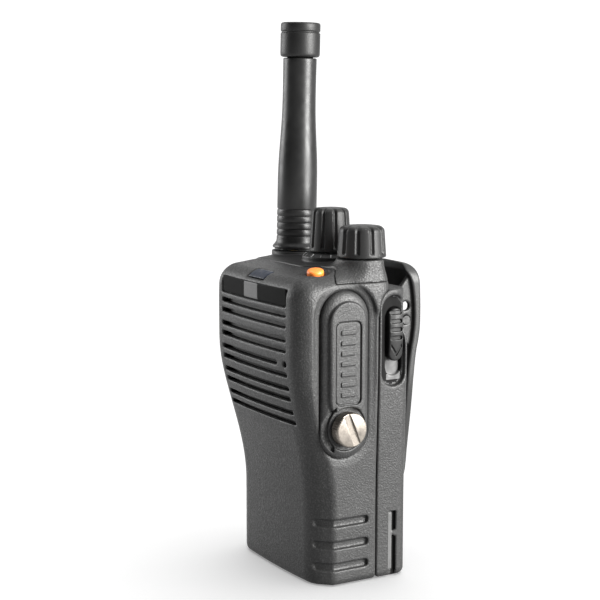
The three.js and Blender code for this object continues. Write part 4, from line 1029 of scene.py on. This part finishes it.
def floor_sheet():
    """A wide, plain, pale table sheet under the radio, which glows a little of its own."""
    mesh = bpy.data.meshes.new("floor")
    made = bmesh.new()
    steps = [-6.0, -2.0, -0.6, 0.0, 0.6, 2.0, 6.0]
    grid = [[made.verts.new((x, y, 0)) for x in steps] for y in steps]
    for low, high in zip(grid, grid[1:]):
        for i in range(len(steps) - 1):
            made.faces.new((low[i], low[i + 1], high[i + 1], high[i]))
    made.to_mesh(mesh)
    made.free()
    sheet, tree, bsdf, coords = nodes_of("floor_white")
    tint = blend(tree, noise(tree, coords, 3, 2), grey(SHEET_WHITE), grey(SHEET_WHITE * 0.985))
    tree.links.new(tint, bsdf.inputs["Base Color"])
    bsdf.inputs["Roughness"].default_value = 0.9
    bsdf.inputs["Emission Color"].default_value = (1, 1, 1, 1)
    bsdf.inputs["Emission Strength"].default_value = SHEET_GLOW
    mesh.materials.append(sheet)
    obj = bpy.data.objects.new("floor", mesh)
    bpy.context.scene.collection.objects.link(obj)
    return obj


def all_but(obj):
    """A collection for light linking that leaves one object unlit."""
    lit = bpy.data.collections.new("all_but_" + obj.name)
    lit.objects.link(obj)
    lit.collection_objects[0].light_linking.link_state = "EXCLUDE"
    return lit


def studio_world():
    """White behind and to the right of the radio, dark to the left and in front, as between black cards."""
    world = bpy.data.worlds.new("studio")
    world.use_nodes = True
    tree = world.node_tree
    coords = tree.nodes.new("ShaderNodeTexCoord")

    def glow(direction, low, high, to_low, to_high):
        """Brightness from to_low to to_high as the view turns towards the direction."""
        dot = tree.nodes.new("ShaderNodeVectorMath")
        dot.operation = "DOT_PRODUCT"
        tree.links.new(coords.outputs["Generated"], dot.inputs[0])
        dot.inputs[1].default_value = direction
        r = tree.nodes.new("ShaderNodeMapRange")
        r.interpolation_type = "SMOOTHSTEP"
        r.inputs["From Min"].default_value = low
        r.inputs["From Max"].default_value = high
        r.inputs["To Min"].default_value = to_low
        r.inputs["To Max"].default_value = to_high
        tree.links.new(dot.outputs["Value"], r.inputs["Value"])
        return r.outputs["Result"]

    behind = glow((-0.866, 0.5, 0), 0.60, 0.93, 0, 1.15)
    right = glow((0.62, 0.78, 0.1), 0.2, 0.95, 0.06, 0.55)
    brighter = tree.nodes.new("ShaderNodeMath")
    brighter.operation = "MAXIMUM"
    tree.links.new(behind, brighter.inputs[0])
    tree.links.new(right, brighter.inputs[1])
    background = tree.nodes["Background"].inputs
    tree.links.new(brighter.outputs["Value"], background["Strength"])
    background["Color"].default_value = (1, 1, 1, 1)
    bpy.context.scene.world = world


def side_lamp(name, at, width, height, power, colour, lit):
    """A rectangular lamp that faces the middle of the radio and lights only what lit allows."""
    data = bpy.data.lights.new(name, "AREA")
    data.shape = "RECTANGLE"
    data.size = width
    data.size_y = height
    data.energy = power
    data.color = colour
    obj = bpy.data.objects.new(name, data)
    obj.location = at
    obj.rotation_euler = (Vector(LAMP_AIM) - Vector(at)).to_track_quat("-Z", "Y").to_euler()
    bpy.context.scene.collection.objects.link(obj)
    obj.light_linking.receiver_collection = lit


def overhead_light():
    """A very wide, soft sun from above, a little behind and to the left."""
    sun = bpy.data.lights.new("overhead", "SUN")
    sun.energy = 2.3
    sun.angle = math.radians(75)
    obj = bpy.data.objects.new("overhead", sun)
    obj.rotation_euler = (math.radians(-8), math.radians(-6), 0)
    bpy.context.scene.collection.objects.link(obj)


def photo_camera():
    """The photograph's viewpoint: a long lens, a little above the radio and looking slightly down."""
    camera = bpy.data.cameras.new("camera")
    camera.lens = 90
    camera.sensor_width = 36
    camera.clip_start = 0.05
    camera.clip_end = 20
    obj = bpy.data.objects.new("camera", camera)
    obj.location = EYE
    obj.rotation_euler = (math.pi / 2 - PITCH, 0, AZIMUTH)
    bpy.context.scene.collection.objects.link(obj)
    bpy.context.scene.camera = obj


LAMP_AIM = (0, 0, 0.07)
EYE, AZIMUTH, PITCH = (0.44258, -0.26299, 0.16700), math.radians(60), math.radians(8.2)

# the side lamps leave the pale sheet unlit, so that it throws less light back on the radio
radio_alone = all_but(floor_sheet())
studio_world()
side_lamp("key_right", (0.66, 0.42, 0.32), 0.40, 0.6, 31, (1, 0.995, 0.98), radio_alone)
side_lamp("fill_left", (-0.72, -0.50, 0.34), 0.5, 0.5, 6.8, (1, 1, 1), radio_alone)
overhead_light()
photo_camera()
bpy.context.scene.view_settings.view_transform = "Standard"
